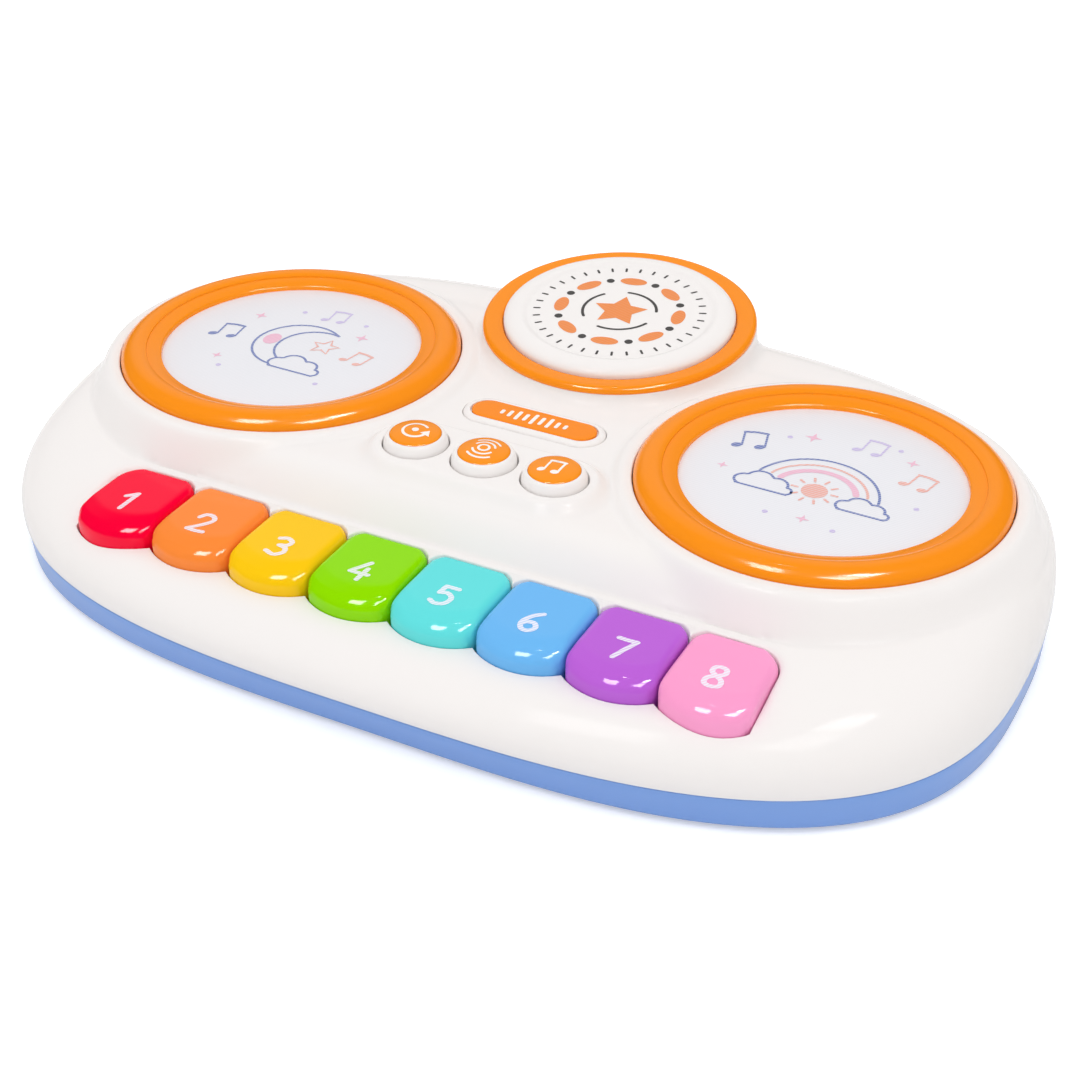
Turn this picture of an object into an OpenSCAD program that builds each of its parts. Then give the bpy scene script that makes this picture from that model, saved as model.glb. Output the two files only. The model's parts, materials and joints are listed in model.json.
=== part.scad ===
// Toy keyboard with two drum pads, a turning disc and four push buttons.
// Millimetres. +X right, +Y back, +Z up, origin on the ground below the middle of the outline.

/* [Body] */
// Width of the body at its widest line
body_w = 299; // [296:1:306]
// Depth from the front edge to the back of the disc bulge
body_d = 201.6; // [200:0.2:206]
// Distance from the front edge to the widest line
front_len = 94.4; // [91:0.2:98]
// How far the disc bulge stands out behind the body
bulge_out = 8.4; // [6:0.2:11]
// Squareness of the front half of the outline
front_square = 2.85; // [2.6:0.05:3.1]
// Squareness of the back half of the outline
back_square = 2.65; // [2.4:0.05:2.8]
// Wall of both shells
wall = 2.5; // [2:0.1:2.8]
// Height of the base shell
base_h = 10; // [9:0.5:12]
// Height of the widest line above the parting line
belly_h = 4; // [3:0.5:5]
// How much the front of the base draws in from the parting line to its underside
base_draft = 2.6; // [1.5:0.1:4]
// Height of the sloping top at the middle of the body, above the ground
crown_h = 40; // [39:0.2:40.6]
// Height of the raised deck above the ground
deck_h = 44; // [43.4:0.2:45]
// Drop of the deck's sloping side
deck_drop = 9; // [8:0.2:10]
// Run of the deck's sloping side
deck_run = 7; // [6:0.2:8]
// Height of the round drum bosses above the deck
boss_rise = 1.7; // [1:0.1:2.2]
// Width of a drum boss's flat rim around the ring
boss_rim = 4; // [3:0.1:4.4]
// Run of a drum boss's sloping side
boss_run = 5.2; // [4.6:0.1:5.6]

/* [Keys] */
// Distance from one key to the next
key_pitch = 25; // [24.6:0.1:25.2]
// Gap between neighbouring keys
key_gap = 0.6; // [0.5:0.1:0.8]
// Length of a key from its nose to its back
key_len = 28.7; // [28:0.1:29.4]
// Height of a key's top above the trough floor
key_h = 7; // [6.5:0.1:7.5]
// Radius of a key's nose seen from above
key_nose_r = 19; // [17:0.5:22]
// Radius of the roll at the front of a key's top
key_roll = 6.5; // [5:0.5:6.5]
// Wall of a key cap
key_wall = 1.8; // [1.4:0.1:2.2]
// How far a key turns when pressed, in degrees
key_dip = 4; // [3:0.5:4]
// Distance from the front edge of the body to the noses of the keys
key_from_front = 14.9; // [14.2:0.1:15.6]
// Height of the trough floor above the ground
trough_h = 27; // [26.5:0.1:27.5]
// Radius of the hinge rod
rod_r = 1.5; // [1.2:0.1:2]

/* [Drums] */
// Distance of each drum from the middle plane
drum_x = 84.7; // [84:0.1:86]
// Distance from the front edge of the body to the drum centres
drum_from_front = 106.6; // [106.2:0.1:107.6]
// Outer radius of the drum ring
drum_r = 50.8; // [50:0.1:51.2]
// Radius of the drum head
head_r = 39; // [37:0.5:40]
// Height of the ring's crest above the deck
ring_crest = 6; // [5:0.2:7]
// Height of the head above the deck
head_rise = 1.9; // [1.2:0.1:2.4]
// Travel of a drum when hit
drum_dip = 2; // [1:0.1:2.4]

/* [Disc] */
// Radius of the turning disc
disc_r = 35.2; // [33:0.1:36]
// Outer radius of the ring around the disc
bezel_r = 41.6; // [41:0.1:42]
// Thickness of the ring around the disc
bezel_t = 2; // [1.6:0.1:3]
// How far the disc stands above its ring
disc_rise = 3.2; // [2.4:0.1:4]
// Forward tilt of the disc in degrees
disc_tilt = 4; // [2:0.5:6]
// Height of the top of the disc post above the deck, at its middle
post_rise = 6.5; // [5:0.1:8]
// Radius of the bulge of the outline behind the disc
bulge_r = 43.2; // [42.6:0.1:44]
// Radius of the spindle
spindle_r = 4; // [3:0.1:5]

/* [Buttons] */
// Distance between the round buttons
button_pitch = 21.4; // [21:0.1:22]
// Distance from the front edge of the body to the round buttons
button_from_front = 72.1; // [71.2:0.1:72.6]
// Radius of a round button
button_r = 9.1; // [8.6:0.1:9.4]
// Radius of its orange cap
cap_r = 7.2; // [6.5:0.1:7.6]
// Height of the mound around the round buttons above the deck
mound_h = 3; // [2:0.1:3.6]
// Height of a round button's rim above the mound
button_rise = 3; // [2:0.1:3.6]
// Travel of the buttons when pressed
button_dip = 1.6; // [1:0.1:1.8]
// Distance from the front edge of the body to the long button
pill_from_front = 101.6; // [100.8:0.1:102]
// Length of the long button
pill_len = 44; // [42:0.2:45]
// Width of the long button
pill_w = 14; // [13:0.1:14.6]
// Length of the insert in the long button
insert_len = 38.8; // [36:0.1:39.5]
// Width of the insert in the long button
insert_w = 9.7; // [8:0.1:10.5]

/* [Inside] */
// Radius of a battery cell
cell_r = 7.25; // [7:0.05:7.4]
// Length of a battery cell
cell_len = 50.5; // [49:0.5:51]
// Thickness of the circuit boards
board_t = 1.6; // [1.2:0.1:2]
// Outer radius of the speaker
speaker_r = 28; // [25:0.5:29]
// Height of the feet below the base
foot_h = 1.5; // [1:0.1:2.5]
// Radius of the feet
foot_r = 7; // [5:0.5:9]
// Radius of a screw's shank
screw_r = 1.25; // [1:0.05:1.5]
// Travel of the power switch
switch_travel = 8; // [6:0.5:9]

/* [Clearances] */
// Gap around parts that slide
slide_gap = 0.5; // [0.4:0.05:0.6]
// Radial gap of a shaft in its bore
run_gap = 0.05; // [0.03:0.01:0.08]
// Gap between a moving part and the seat or stop below it
seat_gap = 0.3; // [0.2:0.05:0.4]

/* [Hidden] */
$fn = 64;
KEY_NODES = ["key_red", "key_orange", "key_yellow", "key_green", "key_turquoise", "key_blue", "key_purple",
    "key_pink"];
KEY_COLOURS = ["#e3172b", "#ff7a22", "#ffc21a", "#86d614", "#4fd6cc", "#5aa6e8", "#8a3fc0", "#f58bc4"];
BUTTON_NODES = ["left_button", "centre_button", "right_button"];
CAP_NODES = ["left_button_cap", "centre_button_cap", "right_button_cap"];

WHITE = "#f6f1ec";
ORANGE = "#ff8c1e";
BLUE = "#86a5e0";
STEEL = "#b9bcc2";
BOARD = "#2f7d4a";
RUBBER = "#d8d8d4";
BLACK = "#2b2b2d";

// How far forms of one piece reach into each other
fuse = 0.5;

// Heights
base_z = foot_h;
parting_z = base_z + base_h;
belly_z = parting_z + belly_h;
floor_z = base_z + wall - 0.3;
mound_z = deck_h + mound_h;
post_h = deck_h + post_rise;

// Places along the depth
front_y = -body_d / 2;
widest_y = front_y + front_len;
back_len = body_d - front_len - bulge_out;
disc_y = body_d / 2 - bulge_r;
drum_y = front_y + drum_from_front;
button_y = front_y + button_from_front;
pill_y = front_y + pill_from_front;
nose_y = front_y + key_from_front;
key_back_y = nose_y + key_len;

// Outline of the body
slope_front = 0.1;
slope_back = 0.069;
blend = 8;
round_front = 50;
round_side = 15;
round_back = 33;
round_power = 2.5;
outline_n = 72;

function smooth_max(a, b, k) = max(a, b) + pow(max(k - abs(a - b), 0), 2) / (4 * k);
function half_outline(a, b, n, phi) =
    pow(pow(abs(cos(phi)) / a, n) + pow(abs(sin(phi)) / b, n), -1 / n);
function bulge_reach(phi) =
    let (c = disc_y - widest_y, s = bulge_r * bulge_r - pow(c * cos(phi), 2))
    sin(phi) > 0 && s > 0 ? c * sin(phi) + sqrt(s) : 0;
function reach(phi) = sin(phi) < 0
    ? half_outline(body_w / 2, front_len, front_square, phi)
    : smooth_max(half_outline(body_w / 2, back_len, back_square, phi), bulge_reach(phi), blend);
function lean(phi) =
    let (slope = (reach(phi + 0.5) - reach(phi - 0.5)) / (2 * 0.5 * PI / 180))
    reach(phi) / sqrt(pow(reach(phi), 2) + slope * slope);
function rounding(phi) = sin(phi) < 0
    ? round_side - (round_front - round_side) * sin(phi)
    : round_side + (round_back - round_side) * sin(phi);
function crown(y) = crown_h + (y < 0 ? slope_front : slope_back) * y;
function swell(d, w) = pow(1 - pow(1 - min(max(d, 0) / w, 1), round_power), 1 / round_power);

// Closed solids from stacked rings of points, all rings with as many points
function loft_faces(rings, n) =
    let (top = rings * n + 1)
    concat(
        [for (j = [0:n - 1]) [0, 1 + j, 1 + (j + 1) % n]],
        [for (i = [0:rings - 2], j = [0:n - 1], half = [0, 1])
            let (a = 1 + i * n + j, b = 1 + i * n + (j + 1) % n)
            half == 0 ? [a, a + n, b + n] : [a, b + n, b]],
        [for (j = [0:n - 1]) [top, 1 + (rings - 1) * n + (j + 1) % n, 1 + (rings - 1) * n + j]]);
module loft(rings, low, high) {
    polyhedron([low, each [for (ring = rings) each ring], high], loft_faces(len(rings), len(rings[0])));
}

// How far the parting line lies inside the widest line: little at the sides, more at front and back
tuck_side = 0.3;
tuck_front = 1.7;
function tuck_in(phi) = tuck_side + (tuck_front - tuck_side) * pow(sin(phi), 2);
// One level of the outline, drawn in by an inset and by a share of the tuck below the widest line
function outline_ring(inset, tuck, z) =
    [for (i = [0:outline_n - 1])
        let (phi = 360 * i / outline_n, r = reach(phi) - (inset + tuck * tuck_in(phi)) / lean(phi))
        [r * cos(phi), widest_y + r * sin(phi), z]];
// One level of the rounded top: a share of the way in from the outline
function dome_ring(share, inset) =
    [for (i = [0:outline_n - 1])
        let (phi = 360 * i / outline_n, edge = reach(phi) - inset / lean(phi), r = edge * (1 - share),
            y = widest_y + r * sin(phi), d = edge * share * lean(phi))
        [r * cos(phi), y, belly_z + (crown(y) - inset - belly_z) * swell(d, rounding(phi) - inset)]];
dome_shares = [0, 0.006, 0.018, 0.04, 0.075, 0.13, 0.2, 0.3, 0.45, 0.7];
module dome(inset, low_z) {
    loft(concat([outline_ring(inset, 1, low_z), outline_ring(inset, 0.3, (low_z + belly_z) / 2)],
            [for (share = dome_shares) dome_ring(share, inset)]),
        [0, widest_y, low_z], [0, widest_y, crown(widest_y) - inset]);
}

// A stadium around a segment along X, one ring of a loft
stadium_n = 64;
function stadium_ring(half, y, r, z) =
    [for (i = [0:stadium_n - 1])
        let (phi = 360 * (i + 0.5) / stadium_n)
        [r * cos(phi) + (cos(phi) > 0 ? half : -half), y + r * sin(phi), z]];
module stadium(half, y, levels) {
    loft([for (level = levels) stadium_ring(half, y, level[0], level[1])],
        [0, y, levels[0][1]], [0, y, levels[len(levels) - 1][1]]);
}

// The raised deck that carries drums and buttons
deck_rim = 2;
deck_r = drum_r + deck_rim;
module deck(inset, low_z) {
    lean_out = inset * sqrt(deck_drop * deck_drop + deck_run * deck_run) / deck_drop;
    foot_z = deck_h - deck_drop;
    run = deck_run * (deck_drop - inset) / deck_drop;
    stadium(drum_x, drum_y, [
        [deck_r + deck_run - lean_out, low_z],
        [deck_r + deck_run - lean_out, foot_z],
        [deck_r + deck_run - lean_out - run, deck_h - inset]]);
}

// The round boss that a drum sits in
boss_top_z = deck_h + boss_rise;
boss_top_r = drum_r + slide_gap + boss_rim;
module drum_boss(inset, low_z) {
    drop = boss_rise + deck_drop;
    lean_out = inset * sqrt(drop * drop + boss_run * boss_run) / drop;
    foot_r = boss_top_r + boss_run - lean_out;
    rotate_extrude() polygon([[0, low_z], [foot_r, low_z], [foot_r, deck_h - deck_drop],
        [foot_r - boss_run * (drop - inset) / drop, boss_top_z - inset], [0, boss_top_z - inset]]);
}

// Frame of the disc: its middle on top of the post, leaning forward
module disc_frame() translate([0, disc_y, post_h]) rotate([disc_tilt, 0, 0]) children();
post_depth = 12;
post_ease = 0.4;
module post(inset) {
    disc_frame() translate([0, 0, -post_depth]) cylinder(r = bezel_r - inset, h = post_depth - inset);
    translate([0, disc_y, belly_z])
        cylinder(r = bezel_r - post_ease - inset, h = post_h - post_depth / 2 - belly_z);
}

trough_end = 2;
trough_back_y = key_back_y + 2;
trough_half = 4 * key_pitch + trough_end;
trough_corner = 9;
module trough_plan(grow) {
    r = trough_corner + grow;
    half = trough_half + grow;
    y = trough_back_y + grow;
    translate([-half, front_y - 20]) square([2 * half, y - r - front_y + 20]);
    translate([r - half, front_y - 20]) square([2 * (half - r), y - front_y + 20]);
    for (s = [-1, 1]) translate([s * (half - r), y - r]) circle(r);
}
trough_floor_t = 2.5;
module trough_tub() translate([0, 0, trough_h - trough_floor_t]) linear_extrude(deck_h - trough_h)
    trough_plan(wall);
module trough_pocket() translate([0, 0, trough_h]) linear_extrude(deck_h) trough_plan(0);

// Hinge rod and the arms of the keys
rod_y = key_back_y + 10.6;
rod_z = trough_h + 0.5;
arm_w = 10;
arm_t = 6;
eye_r = 4;
key_w = key_pitch - key_gap;
function key_x(i) = (i - 3.5) * key_pitch;
module key_plan(grow) intersection() {
    translate([-key_w / 2 - grow, nose_y - grow]) square([key_w + 2 * grow, key_len + 2 * grow]);
    translate([0, nose_y + key_nose_r]) circle(key_nose_r + grow);
}
// The keys' openings in the trough floor, and the ways of their arms under the trough's back wall
slot_depth = 8;
arm_gap = 0.8;
module key_slot() {
    translate([0, 0, trough_h - slot_depth]) linear_extrude(2 * slot_depth) intersection() {
        for (i = [0:7]) translate([key_x(i), 0]) key_plan(slide_gap);
        trough_plan(key_gap / 2 + slide_gap - trough_end);
    }
    for (i = [0:7]) translate([key_x(i) - arm_w / 2 - arm_gap, key_back_y - 1, trough_h - slot_depth])
        cube([arm_w + 2 * arm_gap, rod_y - key_back_y,
            rod_z + arm_t / 2 + arm_gap - trough_h + slot_depth]);
}

drum_hole_r = drum_r + slide_gap;
collar_t = 2;
collar_z = deck_h - 5.7;
flange_t = 2.5;
flange_z = collar_z - seat_gap - flange_t;
flange_r = drum_hole_r + collar_t + 0.5;
guide_ring_r = 44;
guide_angles = [90, 210, 330];
leg_r = 2.5;
leg_in = 6;
guide_r = 4.5;
guide_z = 22;
module each_drum() for (s = [-1, 1]) translate([s * drum_x, drum_y, 0]) children();
module each_light_screw() each_drum() for (side = [-1, 1])
    translate([side * light_screw_x, 0, 0]) children();
module each_guide() for (a = guide_angles) rotate(a) translate([guide_ring_r, 0, 0]) rotate(-a) children();

// Case screws: bosses in the top shell, tubes in the base
case_screw_in = 24.5;
centre_screw_x = pill_len / 2 + 6;
case_screw_places = [for (s = [-1, 1]) each [[s * (body_w / 2 - case_screw_in), rod_y + 1.6],
    [s * (drum_x - 5), drum_y + flange_r + 8.5], [s * centre_screw_x, (pill_y + disc_y) / 2]]];
boss_r = 4;
pilot_r = screw_r + run_gap;
boss_z = parting_z + 1.3;
tube_z = boss_z - seat_gap;
head_seat_z = base_z + 6.5;
screw_head_r = 3;
screw_len = 12;
screw_gap = 0.3;
board_screw_len = 8;
board_screw_head_r = 2.6;
board_screw_head_h = 1.6;
// Screws that hold the key carrier
carrier_ear_x = 4 * key_pitch + 12;
carrier_tab_x = 45.2;
carrier_ear_y = nose_y + 24;
carrier_tab_y = rod_y + 6.6;
carrier_screw_places = [for (s = [-1, 1]) each [[s * carrier_tab_x, carrier_tab_y],
    [s * carrier_ear_x, carrier_ear_y]]];
carrier_z = 12.5;
carrier_t = 2.5;
carrier_boss_r = 3.2;
module at_places(places) for (p = places) translate([p[0], p[1], 0]) children();

bush_r = spindle_r + 2.5;
bush_len = 6;
button_hole_r = button_r + slide_gap;
function button_x(i) = (i - 1) * button_pitch;
module pill_shape(length, width) {
    square([length - width, width], center = true);
    for (s = [-1, 1]) translate([s * (length - width) / 2, 0]) circle(width / 2);
}

// Sensor board posts under the disc post, in the frame of the disc
sensor_x = 27;
sensor_post_z = -9.5;

module shell_form(inset, low_z) {
    dome(inset, low_z);
    deck(inset, low_z + 2);
    each_drum() drum_boss(inset, low_z + 3);
    post(inset);
}
mound_r = button_r + 3;
mound_foot = 2.6;
module top_shell() color(WHITE) difference() {
    union() {
        difference() {
            shell_form(0, parting_z);
            shell_form(wall, parting_z - 1);
        }
        intersection() {
            shell_form(wall / 2, parting_z);
            union() {
                trough_tub();
                at_places(case_screw_places) translate([0, 0, boss_z]) cylinder(r = boss_r, h = deck_h);
                at_places(carrier_screw_places) translate([0, 0, carrier_z + carrier_t])
                    cylinder(r = carrier_boss_r, h = deck_h);
                each_drum() translate([0, 0, collar_z]) cylinder(r = drum_hole_r + collar_t, h = deck_h);
                disc_frame() translate([0, 0, -bush_len - 1]) cylinder(r = bush_r + 2, h = bush_len + 1);
                for (s = [-1, 1]) disc_frame() translate([sensor_x, 9 * s, sensor_post_z])
                    cylinder(r = 2.5, h = -sensor_post_z);
            }
        }
        stadium(button_pitch, button_y, [[mound_r + mound_foot, deck_h - wall / 2],
            [mound_r + mound_foot, deck_h + 0.2], [mound_r, mound_z]]);
    }
    trough_pocket();
    key_slot();
    each_drum() cylinder(r = drum_hole_r, h = 2 * deck_h);
    for (i = [0:2]) translate([button_x(i), button_y, deck_h - 2 * wall])
        cylinder(r = button_hole_r, h = 4 * wall);
    translate([0, pill_y, deck_h - 2 * wall]) linear_extrude(4 * wall)
        pill_shape(pill_len + 2 * slide_gap, pill_w + 2 * slide_gap);
    disc_frame() translate([0, 0, -bush_len - 2]) cylinder(r = bush_r + run_gap, h = bush_len + 4);
    at_places(case_screw_places) translate([0, 0, boss_z - 1]) cylinder(r = pilot_r, h = screw_len);
    at_places(carrier_screw_places) translate([0, 0, carrier_z]) cylinder(r = pilot_r, h = screw_len - 2);
}

// Battery bay, opening downwards
bay_wall = 1.8;
bay_y = button_y + 16.2;
cell_pitch = 2 * cell_r + 0.7;
bay_half_x = cell_len / 2 + 5;
bay_half_y = 1.5 * cell_pitch + 0.6;
door_t = 2;
cell_z = base_z + door_t + seat_gap + cell_r;
bay_top = cell_z + cell_r + 0.5;
door_lip = 3;
door_screw_x = bay_half_x + 5.5;

main_half_x = 41;
main_y = [button_y - 8.3, pill_y + 11.2];
main_z = 26;
main_screw_in = 3.5;
main_screw_places = [for (x = [-1, 1], k = [0, 1])
    [x * (main_half_x - main_screw_in), main_y[k] + (k == 0 ? main_screw_in : -main_screw_in)]];
main_post_r = 3;
pillar_r = 4;
light_screw_x = 15;
light_board_r = 25;
light_z = 20;
switch_place = [-(drum_x - 25), disc_y + 4.5];
knob_w = 6;
knob_d = 4.4;
foot_in = 41.5;
foot_span = 104;
foot_places = [for (x = [-1, 1], y = [-1, 1]) [x * (body_w / 2 - foot_in), y * foot_span / 2]];
foot_sunk = 1;
grille_pitch = 5.6;
grille_hole_r = 1.5;
base_fillet = 1.2;

module base_form(inset, low_z, high_z) {
    foot_tuck = 1 + base_draft / tuck_front;
    steps = inset == 0 ? [[1, 0], [0.3, 0.3], [0, 1]] : [[0, 0]];
    foot = [for (step = steps)
        outline_ring(inset + base_fillet * step[0], foot_tuck, low_z + base_fillet * step[1])];
    loft([each foot, outline_ring(inset, 1, high_z)], [0, widest_y, low_z], [0, widest_y, high_z]);
}
module base_shell() color(BLUE) difference() {
    union() {
        difference() {
            base_form(0, base_z, parting_z);
            base_form(wall - 0.3, floor_z, parting_z + 1);
        }
        translate([-bay_half_x - bay_wall, bay_y - bay_half_y - bay_wall, base_z + fuse])
            cube([2 * (bay_half_x + bay_wall), 2 * (bay_half_y + bay_wall),
                bay_top + bay_wall - base_z - fuse]);
        translate([door_screw_x, bay_y, base_z + fuse]) cylinder(r = 5, h = 8);
        each_drum() each_guide() translate([0, 0, base_z + fuse])
            cylinder(r = guide_r, h = guide_z - base_z - fuse);
        each_light_screw() translate([0, 0, base_z + fuse])
            cylinder(r = pillar_r, h = light_z - base_z - fuse);
        at_places(case_screw_places) translate([0, 0, base_z + fuse])
            cylinder(r = screw_head_r + 1.8, h = tube_z - base_z - fuse);
        at_places(main_screw_places) translate([0, 0, base_z + fuse])
            cylinder(r = main_post_r, h = main_z - base_z - fuse);
        at_places(foot_places) translate([0, 0, base_z + fuse])
            cylinder(r = foot_r + 2, h = wall + foot_sunk - fuse);
    }
    translate([-bay_half_x, bay_y - bay_half_y, base_z - 1])
        cube([2 * bay_half_x, 2 * bay_half_y, bay_top - base_z + 1]);
    door_cut(slide_gap / 2);
    translate([door_screw_x, bay_y, base_z]) cylinder(r = pilot_r, h = 8);
    each_drum() each_guide() translate([0, 0, floor_z + 8]) cylinder(r = leg_r + 0.2, h = guide_z);
    each_light_screw() translate([0, 0, light_z - 8]) cylinder(r = pilot_r, h = 9);
    at_places(case_screw_places) {
        translate([0, 0, base_z - 1]) cylinder(r = screw_head_r + 0.3, h = head_seat_z - base_z + 1);
        translate([0, 0, base_z]) cylinder(r = screw_r + 0.4, h = tube_z);
    }
    at_places(main_screw_places) translate([0, 0, main_z - 8]) cylinder(r = pilot_r, h = 9);
    at_places(foot_places) translate([0, 0, base_z - 1]) cylinder(r = foot_r + 0.1, h = 1 + foot_sunk);
    for (i = [-4:4], j = [-4:4])
        let (x = (i + (j % 2) / 2) * grille_pitch, y = j * grille_pitch * sqrt(3) / 2)
        if (norm([x, y]) < speaker_r - 5)
            translate([x, disc_y + y, base_z - 1]) cylinder(r = grille_hole_r, h = wall + 2);
    translate([switch_place[0], switch_place[1], base_z - 1])
        cube_mid([switch_travel + knob_w + 2 * slide_gap, knob_d + 2 * slide_gap, wall + 3]);
}
module cube_mid(size) translate([-size[0] / 2, -size[1] / 2, 0]) cube(size);

// The door lies flush in a rebate around the bay, and reaches under its screw
module door_cut(grow) {
    x0 = -bay_half_x - door_lip - grow;
    x1 = door_screw_x + 6 + grow;
    half_y = bay_half_y + door_lip + grow;
    translate([x0, bay_y - half_y, base_z - 1]) cube([x1 - x0, 2 * half_y, door_t + 1]);
}
module battery_door() color(BLUE) difference() {
    intersection() {
        door_cut(0);
        translate([-body_w, -body_d, base_z]) cube([2 * body_w, 2 * body_d, door_t]);
    }
    translate([door_screw_x, bay_y, base_z - 1]) cylinder(r = screw_r + screw_gap, h = door_t + 2);
    translate([door_screw_x, bay_y, base_z - 1]) cylinder(r = screw_head_r, h = 1 + door_t / 2);
}
module screw(length, head_r, head_h) {
    cylinder(r = screw_r, h = length);
    difference() {
        translate([0, 0, -head_h]) cylinder(r = head_r, h = head_h);
        for (a = [0, 90]) rotate(a) translate([0, 0, -head_h - 0.5])
            cube_mid([head_r * 1.3, 0.7, 0.5 + head_h * 0.55]);
    }
}
module door_screw() color(STEEL) translate([door_screw_x, bay_y, base_z + door_t / 2])
    screw(6, screw_head_r - 0.2, door_t / 2 - 0.2);
module case_screws() color(STEEL) at_places(case_screw_places) translate([0, 0, head_seat_z])
    screw(screw_len, screw_head_r, 2);
module rubber_feet() color(BLACK) at_places(foot_places) difference() {
    cylinder(r = foot_r, h = base_z + foot_sunk);
    translate([0, 0, -0.5]) rotate_extrude() translate([foot_r, 0]) rotate(45) square(0.9, center = true);
}

// Keys
function arc(cx, cz, r, from, to, n) =
    [for (i = [0:n]) let (a = from + (to - from) * i / n) [cx + r * cos(a), cz + r * sin(a)]];
key_top_z = trough_h + key_h;
key_skirt_z = trough_h - 3;
key_back_round = 2;
key_edge_round = 2.2;
end_corner = trough_corner - trough_end;
module key_form(grow) {
    top = key_top_z + grow;
    low = key_skirt_z + (grow < 0 ? grow : 0);
    intersection() {
        translate([0, 0, low]) linear_extrude(top - low) key_plan(grow);
        translate([-key_pitch, 0, 0]) rotate([90, 0, 90]) linear_extrude(2 * key_pitch) polygon(concat(
            [[nose_y - grow, low], [key_back_y + grow, low]],
            arc(key_back_y + grow - key_back_round, top - key_back_round, key_back_round, 0, 90, 4),
            arc(nose_y - grow + key_roll, top - key_roll, key_roll, 90, 180, 10)));
        translate([0, body_d, 0]) rotate([90, 0, 0]) linear_extrude(2 * body_d) polygon(concat(
            [[-key_w / 2 - grow, low], [key_w / 2 + grow, low]],
            arc(key_w / 2 + grow - key_edge_round, top - key_edge_round, key_edge_round, 0, 90, 5),
            arc(-key_w / 2 - grow + key_edge_round, top - key_edge_round, key_edge_round, 90, 180, 5)));
    }
}
// Cuts the back corners of a key round. The outer ones of the row follow the trough's round corner
key_corner = 3.5;
function corner_r(i, s) = (i == 0 && s < 0) || (i == 7 && s > 0) ? end_corner : key_corner;
module corner_cut(s, r, inset) difference() {
    translate([s * (key_w / 2 + 1) - (s > 0 ? r + 1 : 0), key_back_y - r, key_skirt_z - 5])
        cube([r + 1, r + 1, key_h + 20]);
    translate([s * (key_w / 2 - r), key_back_y - r, key_skirt_z - 6])
        cylinder(r = r - inset, h = key_h + 22);
}
plunger_y = key_back_y - 17.5;
plunger_w = 7;
plunger_d = 3;
strip_w = 13;
strip_t = 1;
dome_h = 3.4;
dome_foot_r = 5.5;
dome_tip_r = 3.8;
dome_top_z = carrier_z + carrier_t + board_t + strip_t + dome_h;
module key(i) color(KEY_COLOURS[i]) translate([key_x(i), 0, 0]) difference() {
    union() {
        difference() {
            key_form(0);
            difference() {
                key_form(-key_wall);
                for (s = [-1, 1]) corner_cut(s, corner_r(i, s), key_wall);
            }
            for (s = [-1, 1]) corner_cut(s, corner_r(i, s), 0);
        }
        translate([-arm_w / 2, key_back_y - key_wall, rod_z - arm_t / 2])
            cube([arm_w, rod_y - key_back_y + key_wall, arm_t]);
        translate([-arm_w / 2, rod_y, rod_z]) rotate([0, 90, 0]) cylinder(r = eye_r, h = arm_w);
        translate([0, plunger_y, dome_top_z + seat_gap])
            cube_mid([plunger_w, plunger_d, key_top_z - key_wall / 2 - dome_top_z - seat_gap]);
    }
    translate([-arm_w, rod_y, rod_z]) rotate([0, 90, 0]) cylinder(r = rod_r + run_gap, h = 2 * arm_w);
}
upright_t = 4;
upright_d = 8;
rod_half = 4 * key_pitch + upright_t / 2 + 1;
module key_rod() color(STEEL) translate([-rod_half, rod_y, rod_z]) rotate([0, 90, 0])
    cylinder(r = rod_r, h = 2 * rod_half);

carrier_y = [nose_y + 4.3, rod_y + 5];
board_half = 4 * key_pitch - 3;
ear_w = 8;
module key_carrier() color(RUBBER) difference() {
    union() {
        translate([-board_half - 1, carrier_y[0], carrier_z])
            cube([2 * board_half + 2, carrier_y[1] - carrier_y[0], carrier_t]);
        for (k = [-2:2]) translate([2 * k * key_pitch, rod_y, carrier_z])
            cube_mid([upright_t, upright_d, rod_z + eye_r - carrier_z]);
        at_places(carrier_screw_places) translate([0, 0, carrier_z])
            cylinder(r = ear_w / 2 + 1, h = carrier_t);
        for (s = [-1, 1]) {
            translate([s > 0 ? board_half : -carrier_ear_x, carrier_ear_y - ear_w / 2, carrier_z])
                cube([carrier_ear_x - board_half, ear_w, carrier_t]);
            translate([s * carrier_tab_x - ear_w / 2, rod_y, carrier_z])
                cube([ear_w, carrier_tab_y - rod_y, carrier_t]);
        }
    }
    translate([-body_w, rod_y, rod_z]) rotate([0, 90, 0]) cylinder(r = rod_r + run_gap, h = 2 * body_w);
    at_places(carrier_screw_places) translate([0, 0, carrier_z - 1])
        cylinder(r = screw_r + screw_gap, h = carrier_t + 2);
}
module carrier_screws() color(STEEL) at_places(carrier_screw_places) translate([0, 0, carrier_z])
    screw(screw_len - 3, board_screw_head_r, board_screw_head_h);
key_board_z = carrier_z + carrier_t;
module key_board() color(BOARD) translate([-board_half, carrier_y[0], key_board_z])
    cube([2 * board_half, plunger_y + strip_w / 2 + 1.5 - carrier_y[0], board_t]);
module key_dome_strip() color(RUBBER) {
    z = key_board_z + board_t;
    translate([0, plunger_y, z]) cube_mid([2 * board_half - 2, strip_w, strip_t]);
    for (i = [0:7]) translate([key_x(i), plunger_y, z + strip_t])
        cylinder(r1 = dome_foot_r, r2 = dome_tip_r, h = dome_h);
}

// Drums: ring and head ride on a plate that three legs guide
plate_top_z = deck_h - 0.5;
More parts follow.
